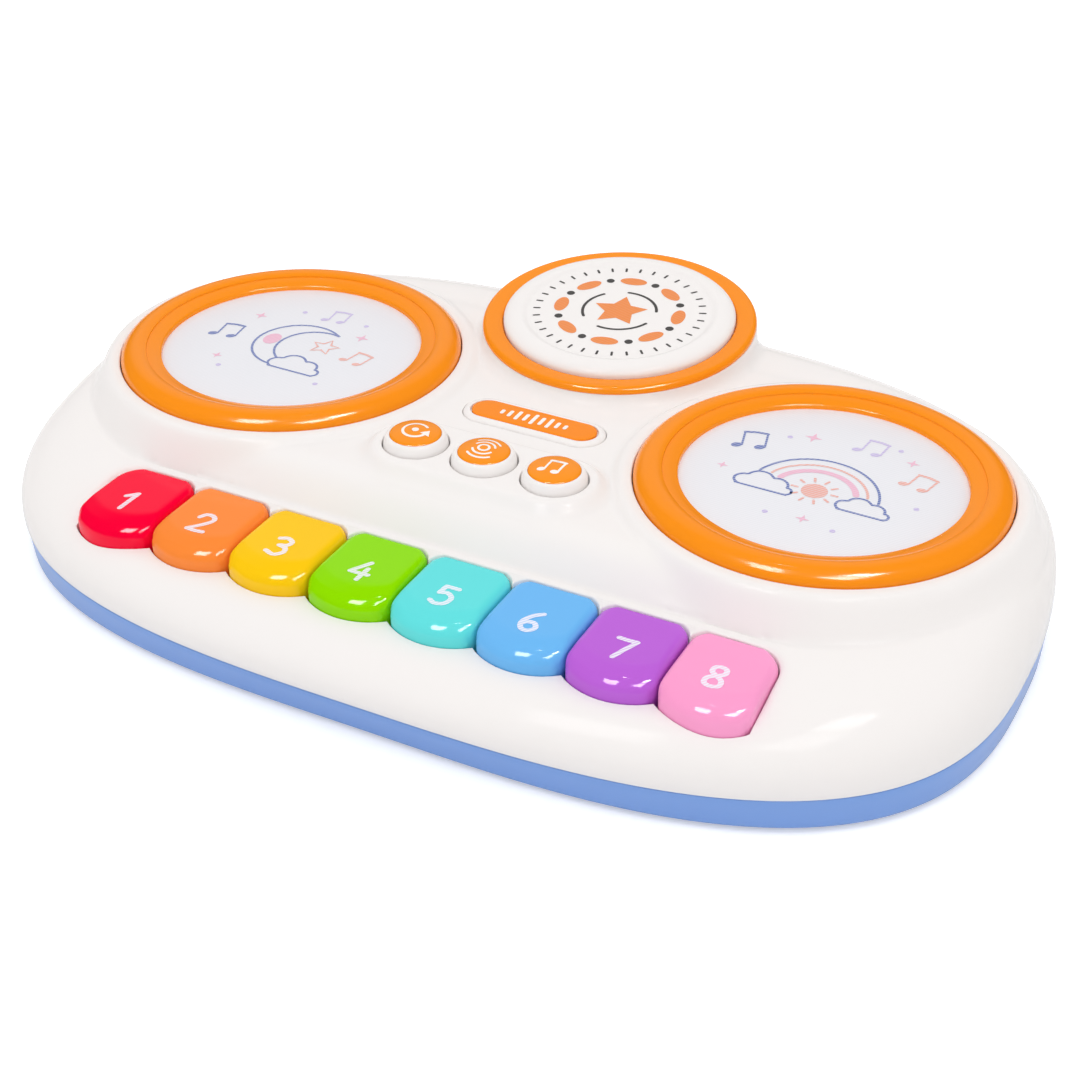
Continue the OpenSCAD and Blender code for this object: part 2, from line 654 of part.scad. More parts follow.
// The ring's section: a lip around the head, a groove and a wide round bead
bead_half = 4.9;
bead_h = 4.8;
lip_h = 2.5;
function ring_profile() =
    let (crest = deck_h + ring_crest, foot = plate_top_z, lip = deck_h + head_rise + lip_h,
        mid = drum_r - bead_half, groove_r = mid - 0.72 * bead_half, lip_w = groove_r - head_r)
    concat([[head_r + seat_gap, foot], [drum_r - 0.4, foot], [drum_r, foot + 0.8]],
        [for (i = [0:11]) let (a = 10 + 120 * i / 11)
            [mid + bead_half * cos(a), crest - bead_h + bead_h * sin(a)]],
        [[groove_r, lip - 0.15], [head_r + 0.65 * lip_w, lip], [head_r + 0.3 * lip_w, lip - 0.1],
            [head_r + seat_gap, lip - 0.7]]);
module drum_ring(s) color(ORANGE) translate([s * drum_x, drum_y, 0])
    rotate_extrude() polygon(ring_profile());
module drum_head(s) color("#f2ecf0") translate([s * drum_x, drum_y, plate_top_z])
    cylinder(r = head_r, h = deck_h + head_rise - plate_top_z);
switch_top_z = light_z + board_t + 5;
switch_w = 8;
module drum_plate(s) color(WHITE) translate([s * drum_x, drum_y, 0]) {
    rotate_extrude() polygon([[0, plate_top_z - 2], [drum_r - 5, plate_top_z - 2], [drum_r - 5, flange_z],
        [flange_r, flange_z], [flange_r, flange_z + flange_t], [drum_r - 0.6, flange_z + flange_t],
        [drum_r - 0.6, plate_top_z], [0, plate_top_z]]);
    each_guide() translate([0, 0, guide_z - leg_in])
        cylinder(r = leg_r, h = flange_z + flange_t / 2 - guide_z + leg_in);
    each_guide() translate([0, 0, flange_z]) cylinder(r = leg_r + 2.5, h = flange_t);
    translate([0, 0, switch_top_z + drum_dip + seat_gap])
        cylinder(r = 4, h = plate_top_z - 1 - switch_top_z - drum_dip - seat_gap);
}
// A coil spring as one tube along a helix
spring_turns = 5;
spring_steps = 9;
spring_sides = 5;
spring_r = 3.6;
wire_r = 0.45;
function helix_ring(k, rise) =
    let (a = 360 * k / spring_steps, pitch = rise / (spring_turns * 2 * PI * spring_r),
        out = [cos(a), sin(a), 0], along = [-sin(a), cos(a), pitch], side = cross(along, out) / norm(along),
        mid = [spring_r * cos(a), spring_r * sin(a), rise * k / (spring_turns * spring_steps)])
    [for (j = [0:spring_sides - 1])
        let (b = 360 * j / spring_sides) mid + wire_r * (cos(b) * out + sin(b) * side)];
module coil_spring(low_z, high_z) {
    rise = high_z - low_z - 2 * wire_r - 0.1;
    count = spring_turns * spring_steps;
    rings = [for (k = [0:count]) helix_ring(k, rise)];
    translate([0, 0, low_z + wire_r + 0.05])
        loft(rings, [spring_r, 0, 0], [spring_r * cos(360 * spring_turns), 0, rise]);
}
module drum_springs(s) color(STEEL) translate([s * drum_x, drum_y, 0])
    each_guide() coil_spring(guide_z, flange_z);
module light_board(s) color(BOARD) translate([s * drum_x, drum_y, light_z]) {
    difference() {
        cylinder(r = light_board_r, h = board_t);
        for (side = [-1, 1]) translate([side * light_screw_x, 0, -1])
            cylinder(r = screw_r + screw_gap, h = board_t + 2);
    }
    translate([0, 0, board_t - fuse])
        cube_mid([switch_w, switch_w, switch_top_z - light_z - board_t + fuse]);
}
led_ring_r = 17;
led_r = 2.5;
led_h = 6;
module leds(s) color("#fff6c8") translate([s * drum_x, drum_y, light_z + board_t])
    for (a = [45, 135, 225, 315]) rotate(a) translate([led_ring_r, 0, 0]) {
        cylinder(r = led_r + fuse, h = 1);
        cylinder(r = led_r, h = led_h);
        translate([0, 0, led_h]) sphere(led_r);
    }
module light_board_screws() color(STEEL) each_light_screw() translate([0, 0, light_z + board_t])
    mirror([0, 0, 1]) screw(board_screw_len, board_screw_head_r, board_screw_head_h);

// Disc
disc_low = 0.5;
wheel_z = -14;
wheel_t = 3;
wheel_r = 18;
module disc_ring() color(ORANGE) disc_frame() rotate_extrude() polygon(concat(
    [[disc_r + slide_gap, 0], [bezel_r, 0]],
    arc(bezel_r - 0.9, bezel_t - 0.9, 0.9, 0, 90, 5),
    [[disc_r + slide_gap + 0.6, bezel_t], [disc_r + slide_gap, bezel_t - 0.6]]));
module disc_plate() color(WHITE) disc_frame() {
    top = bezel_t + disc_rise;
    rotate_extrude() polygon(concat([[0, disc_low], [disc_r, disc_low]],
        arc(disc_r - 1.8, top - 1.8, 1.8, 0, 90, 6),
        [[disc_r - 5.6, top], [disc_r - 6.4, top - 0.6], [disc_r - 7.2, top - 0.6], [disc_r - 8, top - 0.2],
            [0, top - 0.2]]));
    difference() {
        translate([0, 0, wheel_z]) cylinder(r = spindle_r, h = disc_low + 0.2 - wheel_z);
        translate([0, 0, wheel_z - 1]) cylinder(r = pilot_r, h = 10);
    }
}
module disc_bush() color(RUBBER) disc_frame() difference() {
    translate([0, 0, -bush_len - 1]) cylinder(r = bush_r, h = bush_len + 1);
    translate([0, 0, -bush_len - 2]) cylinder(r = spindle_r + run_gap, h = bush_len + 4);
}
module disc_code_wheel() color(BLACK) disc_frame() translate([0, 0, wheel_z]) difference() {
    union() {
        translate([0, 0, -wheel_t]) cylinder(r = wheel_r, h = 1.5);
        translate([0, 0, -wheel_t]) cylinder(r = 7, h = wheel_t);
    }
    translate([0, 0, -wheel_t - 1]) cylinder(r = screw_r + 0.2, h = wheel_t + 2);
    for (a = [0:30:359]) rotate(a) translate([wheel_r - 4.5, -1, -wheel_t - 1]) cube([3, 2, 4]);
}
module disc_screw() color(STEEL) disc_frame() translate([0, 0, wheel_z - wheel_t]) screw(9, 2.8, 1.6);
module disc_sensor_board() disc_frame() {
    color(BOARD) translate([sensor_x, 0, sensor_post_z - board_t]) cube_mid([9, 26, board_t]);
    color(BLACK) translate([0, 0, sensor_post_z - board_t]) {
        translate([sensor_x - 4.2, -3, -9]) cube([7, 6, 9]);
    }
}

// Round buttons and the long button
main_top_z = main_z + board_t;
mat_in = 8;
mat_t = 1;
mat_dome_h = 5;
mat_foot_r = 5;
mat_tip_r = 3.4;
mat_dome_z = main_top_z + mat_t + mat_dome_h;
button_flange_t = 2;
button_flange_z = deck_h - wall - seat_gap - button_flange_t;
button_foot_r = 2.6;
module button(i) color(WHITE) translate([button_x(i), button_y, 0]) difference() {
    union() {
        translate([0, 0, button_flange_z]) rotate_extrude() polygon(concat([[0, -1], [button_r, -1]],
            arc(button_r - 1.4, mound_z + button_rise - button_flange_z - 1.4, 1.4, 0, 90, 5),
            [[0, mound_z + button_rise - button_flange_z]]));
        translate([0, 0, button_flange_z]) cylinder(r = button_hole_r + 0.9, h = button_flange_t);
        translate([0, 0, mat_dome_z + seat_gap])
            cylinder(r = button_foot_r, h = button_flange_z - mat_dome_z - seat_gap);
    }
    translate([0, 0, mound_z + button_rise - cap_sunk]) cylinder(r = cap_r + run_gap, h = 3);
}
cap_crown = 1;
cap_sunk = 1;
module button_cap(i) color(ORANGE) translate([button_x(i), button_y, mound_z + button_rise - cap_sunk]) {
    ball = (cap_r * cap_r + cap_crown * cap_crown) / (2 * cap_crown);
    rise = cap_sunk + 0.2;
    half = asin(cap_r / ball);
    rotate_extrude() polygon(concat([[0, 0], [cap_r, 0]],
        arc(0, rise + cap_crown - ball, ball, 90 - half, 90, 8)));
}
pill_rise = 0.8;
pill_flange = 3;
module music_button() color(WHITE) translate([0, pill_y, 0]) difference() {
    union() {
        translate([0, 0, button_flange_z]) linear_extrude(deck_h + pill_rise - button_flange_z)
            pill_shape(pill_len, pill_w);
        translate([0, 0, button_flange_z]) linear_extrude(button_flange_t)
            pill_shape(pill_len + pill_flange, pill_w + pill_flange);
        for (s = [-1, 1]) translate([s * pill_foot_x, 0, mat_dome_z + seat_gap])
            cylinder(r = button_foot_r, h = button_flange_z - mat_dome_z);
    }
    translate([0, 0, deck_h + pill_rise - cap_sunk]) linear_extrude(3)
        pill_shape(insert_len + 2 * run_gap, insert_w + 2 * run_gap);
}
module music_button_insert() color(ORANGE) translate([0, pill_y, deck_h + pill_rise - cap_sunk])
    linear_extrude(cap_sunk + 0.2) pill_shape(insert_len, insert_w);
pill_foot_x = 10;
mat_places = [for (i = [0:2]) [button_x(i), button_y], for (s = [-1, 1]) [s * pill_foot_x, pill_y]];
module button_mat() color(RUBBER) {
    translate([-main_half_x + mat_in, main_y[0] + 1, main_top_z])
        cube([2 * (main_half_x - mat_in), pill_y + 7 - main_y[0], mat_t]);
    at_places(mat_places) translate([0, 0, main_top_z + mat_t])
        cylinder(r1 = mat_foot_r, r2 = mat_tip_r, h = mat_dome_h);
}
module main_board() color(BOARD) difference() {
    translate([-main_half_x, main_y[0], main_z]) cube([2 * main_half_x, main_y[1] - main_y[0], board_t]);
    at_places(main_screw_places) translate([0, 0, main_z - 1])
        cylinder(r = screw_r + screw_gap, h = board_t + 2);
}
module board_screws() color(STEEL) at_places(main_screw_places) translate([0, 0, main_top_z])
    mirror([0, 0, 1]) screw(board_screw_len, board_screw_head_r, board_screw_head_h);

// Speaker, facing down onto the grille
speaker_rim = 4;
rim_t = 1.5;
sheet_t = 1.2;
basket_r = 16;
basket_h = 11;
coil_r = 10;
cone_depth = 6;
cone_t = 0.6;
cap_drop = 2;
magnet_r = 14;
magnet_h = 8;
module speaker_frame() color(BLACK) translate([0, disc_y, floor_z]) rotate_extrude() polygon([
    [speaker_r - speaker_rim, 0], [speaker_r, 0], [speaker_r, rim_t],
    [speaker_r - speaker_rim + sheet_t, rim_t], [basket_r, basket_h], [0, basket_h],
    [0, basket_h - sheet_t], [basket_r - cone_t, basket_h - sheet_t], [speaker_r - speaker_rim, sheet_t]]);
cone_r = speaker_r - speaker_rim - slide_gap / 2;
module speaker_cone() color("#4a4a4c") translate([0, disc_y, floor_z]) rotate_extrude() polygon([
    [cone_r, seat_gap], [cone_r, seat_gap + cone_t], [coil_r, cone_depth + cone_t],
    [0, cone_depth + cone_t - cap_drop], [0, cone_depth - cap_drop], [coil_r, cone_depth]]);
module speaker_magnet() color(STEEL) translate([0, disc_y, floor_z + basket_h])
    cylinder(r = magnet_r, h = magnet_h);

// Batteries and their contacts
module each_cell() for (k = [-1, 0, 1]) translate([0, bay_y + k * cell_pitch, cell_z])
    rotate(k == 0 ? 180 : 0) children();
module batteries() color("#3c6e3f") each_cell() rotate([0, 90, 0]) {
    translate([0, 0, -cell_len / 2]) cylinder(r = cell_r, h = cell_len - 1.2);
    translate([0, 0, cell_len / 2 - 1.3]) cylinder(r = 2.75, h = 1.3);
}
module battery_contacts() color(STEEL) each_cell() {
    translate([cell_len / 2, -5, -5]) cube([bay_half_x - cell_len / 2 - 0.1, 10, 10]);
    translate([-bay_half_x + 0.1, -5, -5]) cube([0.6, 10, 10]);
    translate([-bay_half_x + 0.6, 0, 0]) rotate([0, 90, 0])
        cylinder(r1 = 5, r2 = 3, h = bay_half_x - cell_len / 2 - 0.6);
}

// Power switch on the underside
switch_z = floor_z;
module switch_knob() color(BLACK) translate([switch_place[0] - switch_travel / 2, switch_place[1], 0]) {
    translate([0, 0, base_z - fuse]) cube_mid([knob_w, knob_d, switch_z + 3 - base_z]);
}
module switch_body() color(STEEL) translate([switch_place[0], switch_place[1], switch_z]) difference() {
    cube_mid([switch_travel + knob_w + 10, knob_d + 6, 6]);
    translate([0, 0, -1]) cube_mid([switch_travel + knob_w + 2 * slide_gap, knob_d + 2 * slide_gap, 5]);
}

top_shell();
base_shell();
battery_door();
door_screw();
case_screws();
rubber_feet();
for (i = [0:7]) key(i);
key_rod();
key_carrier();
carrier_screws();
key_board();
key_dome_strip();
drum_ring(-1);  // left_drum_ring
drum_ring(1);  // right_drum_ring
drum_head(-1);  // left_drum_head
drum_head(1);  // right_drum_head
drum_plate(-1);  // left_drum_plate
drum_plate(1);  // right_drum_plate
drum_springs(-1);  // left_drum_springs
drum_springs(1);  // right_drum_springs
light_board(-1);  // left_light_board
light_board(1);  // right_light_board
leds(-1);  // left_leds
leds(1);  // right_leds
light_board_screws();
disc_ring();
disc_plate();
disc_bush();
disc_code_wheel();
disc_screw();
disc_sensor_board();
for (i = [0:2]) button(i);
for (i = [0:2]) button_cap(i);
music_button();
music_button_insert();
button_mat();
main_board();
board_screws();
speaker_frame();
speaker_cone();
speaker_magnet();
batteries();
battery_contacts();
switch_knob();
switch_body();
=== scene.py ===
import json
import math

import bmesh
import bpy
import numpy as np
from mathutils import Matrix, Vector
from mathutils.geometry import delaunay_2d_cdt
from mathutils.kdtree import KDTree


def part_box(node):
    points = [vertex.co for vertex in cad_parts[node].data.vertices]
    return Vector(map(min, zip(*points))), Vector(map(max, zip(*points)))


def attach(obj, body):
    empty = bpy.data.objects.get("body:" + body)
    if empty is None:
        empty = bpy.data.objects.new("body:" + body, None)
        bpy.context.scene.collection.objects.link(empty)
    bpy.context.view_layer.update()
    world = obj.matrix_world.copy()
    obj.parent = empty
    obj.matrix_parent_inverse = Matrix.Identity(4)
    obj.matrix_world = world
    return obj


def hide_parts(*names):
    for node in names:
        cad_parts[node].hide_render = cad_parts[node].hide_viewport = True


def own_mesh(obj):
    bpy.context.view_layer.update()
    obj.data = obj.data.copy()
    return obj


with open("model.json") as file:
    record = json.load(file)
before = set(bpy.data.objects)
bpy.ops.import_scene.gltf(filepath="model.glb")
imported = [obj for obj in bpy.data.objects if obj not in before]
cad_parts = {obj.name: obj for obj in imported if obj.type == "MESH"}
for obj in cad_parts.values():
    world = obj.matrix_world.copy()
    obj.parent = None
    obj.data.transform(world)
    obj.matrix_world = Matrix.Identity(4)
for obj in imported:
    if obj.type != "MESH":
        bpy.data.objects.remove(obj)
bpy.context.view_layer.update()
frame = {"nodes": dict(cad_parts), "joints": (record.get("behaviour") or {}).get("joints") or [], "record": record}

# Looks of a toy keyboard with drum pads, a turning disc and push buttons.
# Lengths are millimetres in the part's own frame, and become metres when a mesh is made.
MM = 0.001
NODES = frame["nodes"]
JOINTS = {joint["name"]: joint for joint in frame["joints"]}
SLOT_OF = {part["node"]: part["material_slot"] for part in frame["record"]["subparts"]}
KEYS = ["red", "orange", "yellow", "green", "turquoise", "blue", "purple", "pink"]
BUTTONS = ["left", "centre", "right"]
SIDES = {"left": -1, "right": 1}


def node_box(node):
    """Lowest and highest corner of a node, in millimetres."""
    low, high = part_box(node)
    return np.array(low) / MM, np.array(high) / MM


def joint_place(name):
    return np.array(JOINTS[name]["pos_m"]) / MM


# Sizes taken from the frame
SHELL_LOW, SHELL_HIGH = node_box("top_shell")
BASE_Z = node_box("base_shell")[0][2]
HALF_W = SHELL_HIGH[0]
FRONT_Y = SHELL_LOW[1]
BACK_Y = SHELL_HIGH[1]
PARTING_Z = SHELL_LOW[2]
RING_LOW, RING_HIGH = node_box("right_drum_ring")
DRUM_X, DRUM_Y = (RING_LOW + RING_HIGH)[:2] / 2
DRUM_R = (RING_HIGH - RING_LOW)[0] / 2
RING_FOOT_Z = RING_LOW[2]
RING_CREST_Z = RING_HIGH[2]
HEAD_LOW, HEAD_HIGH = node_box("right_drum_head")
HEAD_R = (HEAD_HIGH - HEAD_LOW)[0] / 2
HEAD_Z = HEAD_HIGH[2]
DISC_AT = joint_place("disc_spin")
DISC_Y = DISC_AT[1]
DISC_TILT = math.asin(-JOINTS["disc_spin"]["axis"][1])
ROD_Y, ROD_Z = joint_place("red_key_hinge")[1:]
KEY_X = [joint_place(f"{key}_key_hinge")[0] for key in KEYS]
KEY_PITCH = KEY_X[1] - KEY_X[0]
NOSE_Y = node_box("key_red")[0][1]
KEY_TOP_Z = node_box("key_red")[1][2]
CAP_LOW, CAP_HIGH = node_box("right_button_cap")
BUTTON_PITCH, BUTTON_Y = (CAP_LOW + CAP_HIGH)[:2] / 2
BUTTON_X = (-BUTTON_PITCH, 0, BUTTON_PITCH)
CAP_R = (CAP_HIGH - CAP_LOW)[0] / 2
CAP_TOP_Z = CAP_HIGH[2]
STEM_Z, BUTTON_TOP_Z = (corner[2] for corner in node_box("right_button"))
INSERT_LOW, INSERT_HIGH = node_box("music_button_insert")
PILL_Y = (INSERT_LOW + INSERT_HIGH)[1] / 2
INSERT_HALF = INSERT_HIGH[0]
INSERT_R = (INSERT_HIGH - INSERT_LOW)[1] / 2
INSERT_Z = INSERT_HIGH[2]

# Sizes that the solids share
FRONT_LEN = 94.4
BULGE_OUT = 8.4
BULGE_R = BACK_Y - DISC_Y
FRONT_SQUARE = 2.85
BACK_SQUARE = 2.65
OUTLINE_BLEND = 8
BELLY_H = 4
TUCK_SIDE = 0.3
TUCK_FRONT = 1.7
BASE_DRAFT = 2.6
BASE_FILLET = 1.2
CROWN_H = 40
SLOPE_FRONT = 0.1
SLOPE_BACK = 0.069
ROUND_FRONT = 50
ROUND_SIDE = 15
ROUND_BACK = 33
ROUND_POWER = 2.5
DECK_H = RING_FOOT_Z + 0.5
DECK_DROP = 9
DECK_RUN = 7
DECK_R = DRUM_R + 2
BOSS_Z = DECK_H + 1.7
SLIDE_GAP = 0.5
DRUM_HOLE_R = DRUM_R + SLIDE_GAP
HOOP_R = DRUM_HOLE_R - 0.28
BOSS_R = DRUM_HOLE_R + 4
BOSS_RUN = 5.2
MOUND_H = 3.3
MOUND_R = 12.1
MOUND_FOOT = 2.6
BUTTON_R = 9.1
PILL_HALF = 22
PILL_R = 7
PILL_RISE = 0.8
SEEN_GAP = 0.28
PILL_GAP = 0.18
BUTTON_GAP = 0.38
BEZEL_R = 41.6
BEZEL_T = 2
DISC_R = 35.2
DISC_RISE = 2.7
TROUGH_Z = 27
TROUGH_GAP = 0.3
END_CORNER = 7
TROUGH_CORNER = END_CORNER + TROUGH_GAP
KEY_W = 24.4
KEY_LEN = 28.7
KEY_NOSE_R = 19
KEY_CORNER = 3.8
KEY_SKIRT_Z = TROUGH_Z - 3

WIDEST_Y = FRONT_Y + FRONT_LEN
BACK_LEN = BACK_Y - BULGE_OUT - WIDEST_Y
BELLY_Z = PARTING_Z + BELLY_H
KEY_BACK_Y = NOSE_Y + KEY_LEN
TROUGH_HALF = 3.5 * KEY_PITCH + KEY_W / 2 + TROUGH_GAP
TROUGH_BACK_Y = KEY_BACK_Y + TROUGH_GAP
PILL_STRAIGHT = PILL_HALF - PILL_R


# Curves and distances
def coords(*axes):
    """Points from coordinates, any of which may be one number."""
    return np.stack(np.broadcast_arrays(*axes), -1)


def polar(x, y, r, a):
    """Points at a radius and angles from a middle."""
    return coords(x + r * np.cos(a), y + r * np.sin(a))


def whole_turn(count):
    return np.arange(count) * 2 * np.pi / count


def circle(x, y, r, count):
    return polar(x, y, r, whole_turn(count))


def spot(r, degrees):
    """One point at a radius and an angle."""
    return r * math.cos(math.radians(degrees)), r * math.sin(math.radians(degrees))


def with_height(loop, z):
    return coords(*loop.T, z)


def smooth_max(a, b, k):
    return np.maximum(a, b) + np.maximum(k - np.abs(a - b), 0) ** 2 / (4 * k)


def smooth_min(a, b, k):
    return -smooth_max(-a, -b, k)


def roll(u):
    """A quarter round: 1 with an upright tangent at u = 0, and 0 with a level one from u = 1."""
    return 1 - np.sqrt(1 - (1 - np.clip(u, 0, 1)) ** 2)


def edge_drop(distance, r):
    """How far a round edge of a radius lies below its face."""
    return r * roll(distance / r)


def superellipse(c, s, length, power):
    return (np.abs(c / HALF_W) ** power + np.abs(s / length) ** power) ** (-1 / power)


def reach(phi):
    """How far the outline lies from the middle of the widest line, in a direction."""
    s = np.sin(phi)
    c = np.cos(phi)
    front = superellipse(c, s, FRONT_LEN, FRONT_SQUARE)
    back = superellipse(c, s, BACK_LEN, BACK_SQUARE)
    offset = DISC_Y - WIDEST_Y
    under_root = BULGE_R ** 2 - (offset * c) ** 2
    bulge = np.where((s > 0) & (under_root > 0), offset * s + np.sqrt(np.maximum(under_root, 0)), 0)
    return np.where(s < 0, front, smooth_max(back, bulge, OUTLINE_BLEND))


def lean(phi):
    """Cosine of the angle between the direction and the outline's normal."""
    step = math.radians(0.5)
    slope = (reach(phi + step) - reach(phi - step)) / (2 * step)
    return reach(phi) / np.hypot(reach(phi), slope)


def edge_distance(x, y):
    phi = np.arctan2(y - WIDEST_Y, x)
    return (reach(phi) - np.hypot(x, y - WIDEST_Y)) * lean(phi)


def even_angles(count):
    """Directions that space points of the outline evenly."""
    phi = np.linspace(0, 2 * np.pi, 4001)
    x, y = polar(0, 0, reach(phi), phi).T
    length = np.concatenate([[0], np.cumsum(np.hypot(np.diff(x), np.diff(y)))])
    return np.interp(np.arange(count) * length[-1] / count, length, phi)


OUTLINE_PHI = even_angles(420)


def outline_ring(inset, tuck=0):
    """The outline drawn in by an inset and by a share of the tuck below the widest line."""
    tuck_in = TUCK_SIDE + (TUCK_FRONT - TUCK_SIDE) * np.sin(OUTLINE_PHI) ** 2
    r = reach(OUTLINE_PHI) - (inset + tuck * tuck_in) / lean(OUTLINE_PHI)
    return polar(0, WIDEST_Y, r, OUTLINE_PHI)


def outline_level(inset, tuck, z):
    return with_height(outline_ring(inset, tuck), z)


def stadium(y, half, r, count):
    """A loop around a segment along X: half its straight length and the radius of its ends."""
    a = whole_turn(count) + np.pi / count
    return polar(np.where(np.cos(a) > 0, half, -half), y, r, a)


def stadium_distance(x, y, at_y, half):
    return np.hypot(np.maximum(np.abs(x) - half, 0), y - at_y)


def drum_distance(x, y):
    return np.hypot(np.abs(x) - DRUM_X, y - DRUM_Y)


def path_distance(x, y, path):
    """How far points lie from a path of straight pieces."""
    best = np.full(len(x), np.inf)
    for (x0, y0), (x1, y1) in zip(path, path[1:]):
        dx = x1 - x0
        dy = y1 - y0
        t = np.clip(((x - x0) * dx + (y - y0) * dy) / max(dx * dx + dy * dy, 1e-12), 0, 1)
        best = np.minimum(best, np.hypot(x - x0 - t * dx, y - y0 - t * dy))
    return best


def inside_loop(x, y, loop):
    """Even-odd test of points against a closed polygon."""
    inside = np.zeros(len(x), bool)
    for (x0, y0), (x1, y1) in zip(loop, np.roll(loop, -1, 0)):
        if y0 != y1:
            inside ^= ((y0 > y) != (y1 > y)) & (x < (x1 - x0) * (y - y0) / (y1 - y0) + x0)
    return inside


def smooth_path(points, steps=8, closed=False):
    """A Catmull-Rom curve through points."""
    p = np.array(points, float)
    if closed:
        p = np.vstack([p[-1], p, p[0], p[1]])
    else:
        p = np.vstack([2 * p[0] - p[1], p, 2 * p[-1] - p[-2]])
    t = np.linspace(0, 1, steps, endpoint=False)[:, None]
    out = []
    for a, b, c, d in zip(p, p[1:], p[2:], p[3:]):
        out.append(0.5 * (2 * b + (c - a) * t + (2 * a - 5 * b + 4 * c - d) * t ** 2
                          + (3 * b - a - 3 * c + d) * t ** 3))
    if not closed:
        out.append(p[-2:-1])
    return np.vstack(out)


def arc(cx, cz, rx, rz, start, end, count):
    """Points of an elliptical arc for a profile, with angles in degrees."""
    a = np.radians(np.linspace(start, end, count))
    return [(cx + rx * math.cos(t), cz + rz * math.sin(t)) for t in a]


# Heights of the case's upper surface, with the radius of the blend between each two forms
DECK_SOFT = 7
BOSS_SOFT = 2.5
MOUND_SOFT = 1.2
DECK_BLEND = 4
BOSS_BLEND = 2.4
MOUND_BLEND = 3


def dome_height(x, y):
    s = np.sin(np.arctan2(y - WIDEST_Y, x))
    width = ROUND_SIDE + np.where(s < 0, -(ROUND_FRONT - ROUND_SIDE) * s, (ROUND_BACK - ROUND_SIDE) * s)
    swell = (1 - (1 - np.clip(edge_distance(x, y) / width, 0, 1)) ** ROUND_POWER) ** (1 / ROUND_POWER)
    crown = CROWN_H + np.where(y < 0, SLOPE_FRONT, SLOPE_BACK) * y
    return BELLY_Z + (crown - BELLY_Z) * swell


def raised(t, top, slope, run, soft):
    """A plateau for t below 0 and a slope outside it, which ends steeply past its run."""
    side = top - slope * t - 3 * slope * np.maximum(t - run, 0)
    return smooth_min(np.full_like(side, top), side, soft)


def body_height(x, y):
    deck_t = stadium_distance(x, y, DRUM_Y, DRUM_X) - DECK_R
    deck = raised(deck_t, DECK_H, DECK_DROP / DECK_RUN, DECK_RUN, DECK_SOFT)
    boss_slope = (BOSS_Z - DECK_H + DECK_DROP) / BOSS_RUN
    boss = raised(drum_distance(x, y) - BOSS_R, BOSS_Z, boss_slope, BOSS_RUN, BOSS_SOFT)
    mound_t = stadium_distance(x, y, BUTTON_Y, BUTTON_PITCH) - MOUND_R
    mound = raised(mound_t, DECK_H + MOUND_H, MOUND_H / MOUND_FOOT, 2 * MOUND_FOOT, MOUND_SOFT)
    z = smooth_max(dome_height(x, y), deck, DECK_BLEND)
    return smooth_max(smooth_max(z, boss, BOSS_BLEND), mound, MOUND_BLEND)


# The key trough: a pocket with a floor, open at the front, with a rim that is rounder at its ends
WALL_DRAFT = 0.2
WALL_LOW_R = 0.8
WALL_TOP_RUN = (1, 3.2)
WALL_TOP_DROP = (0.45, 2.1)
RIM_CHANGE_X = (TROUGH_HALF - 12, TROUGH_HALF + 1)
FLOOR_BLEND = 1.5
TROUGH_STEP = 1.6
TROUGH_FRONT_Y = FRONT_Y + 12


def trough_distance(x, y):
    qx = np.abs(x) - (TROUGH_HALF - TROUGH_CORNER)
    qy = y - (TROUGH_BACK_Y - TROUGH_CORNER)
    outside = np.hypot(np.maximum(qx, 0), np.maximum(qy, 0))
    return outside + np.minimum(np.maximum(qx, qy), 0) - TROUGH_CORNER


def trough_line(s):
    """The line at a distance from the trough's wall, from its right front round to its left front."""
    half = TROUGH_HALF - TROUGH_CORNER
    back = TROUGH_BACK_Y - TROUGH_CORNER
    r = TROUGH_CORNER + s
    right = coords(half + r, np.arange(TROUGH_FRONT_Y, back, TROUGH_STEP))
    corner = polar(half, back, r, np.linspace(0, np.pi / 2, 14))
    rear = coords(np.arange(half - TROUGH_STEP, 0.1, -TROUGH_STEP), back + r)
    half_line = np.vstack([right, corner, rear])
    return np.vstack([half_line, half_line[::-1] * [-1, 1]])


def with_trough(z, x, y):
    s = trough_distance(x, y)
    floor = smooth_min(z, np.full_like(z, TROUGH_Z), FLOOR_BLEND)
    gap = np.maximum(z - floor, 0)
    top_run = np.interp(np.abs(x), RIM_CHANGE_X, WALL_TOP_RUN)
    top_drop = np.minimum(np.interp(np.abs(x), RIM_CHANGE_X, WALL_TOP_DROP), gap / 2)
    low_rise = np.minimum(WALL_LOW_R, gap / 2)
    above = z - top_drop * roll(s / top_run)
    below = floor + low_rise * roll((-WALL_DRAFT - s) / WALL_LOW_R)
    t = np.clip((s + WALL_DRAFT) / WALL_DRAFT, 0, 1)
    between = (floor + low_rise) * (1 - t) + (z - top_drop) * t
    return np.where(s >= 0, above, np.where(s <= -WALL_DRAFT, below, between))


def slot_loop(grow):
    """The opening in the trough floor that the keys stand in."""
    half = 4 * KEY_PITCH - (KEY_PITCH - KEY_W) / 2 + grow
    r = KEY_NOSE_R + grow
    corner = END_CORNER + grow
    back = KEY_BACK_Y + grow
    noses = []
    for x0 in KEY_X:
        x = np.linspace(max(x0 - KEY_PITCH / 2, -half), min(x0 + KEY_PITCH / 2, half), 15)
        noses.append(coords(x, NOSE_Y + KEY_NOSE_R - np.sqrt(r ** 2 - (x - x0) ** 2)))
    right = polar(half - corner, back - corner, corner, np.linspace(0, np.pi / 2, 8))
    rear = coords(np.linspace(half - corner, corner - half, 70)[1:-1], back)
    loop = np.vstack([*noses, right, rear, right[::-1] * [-1, 1]])
    keep = np.hypot(*(loop - np.roll(loop, 1, 0)).T) > 0.05
    return loop[keep]


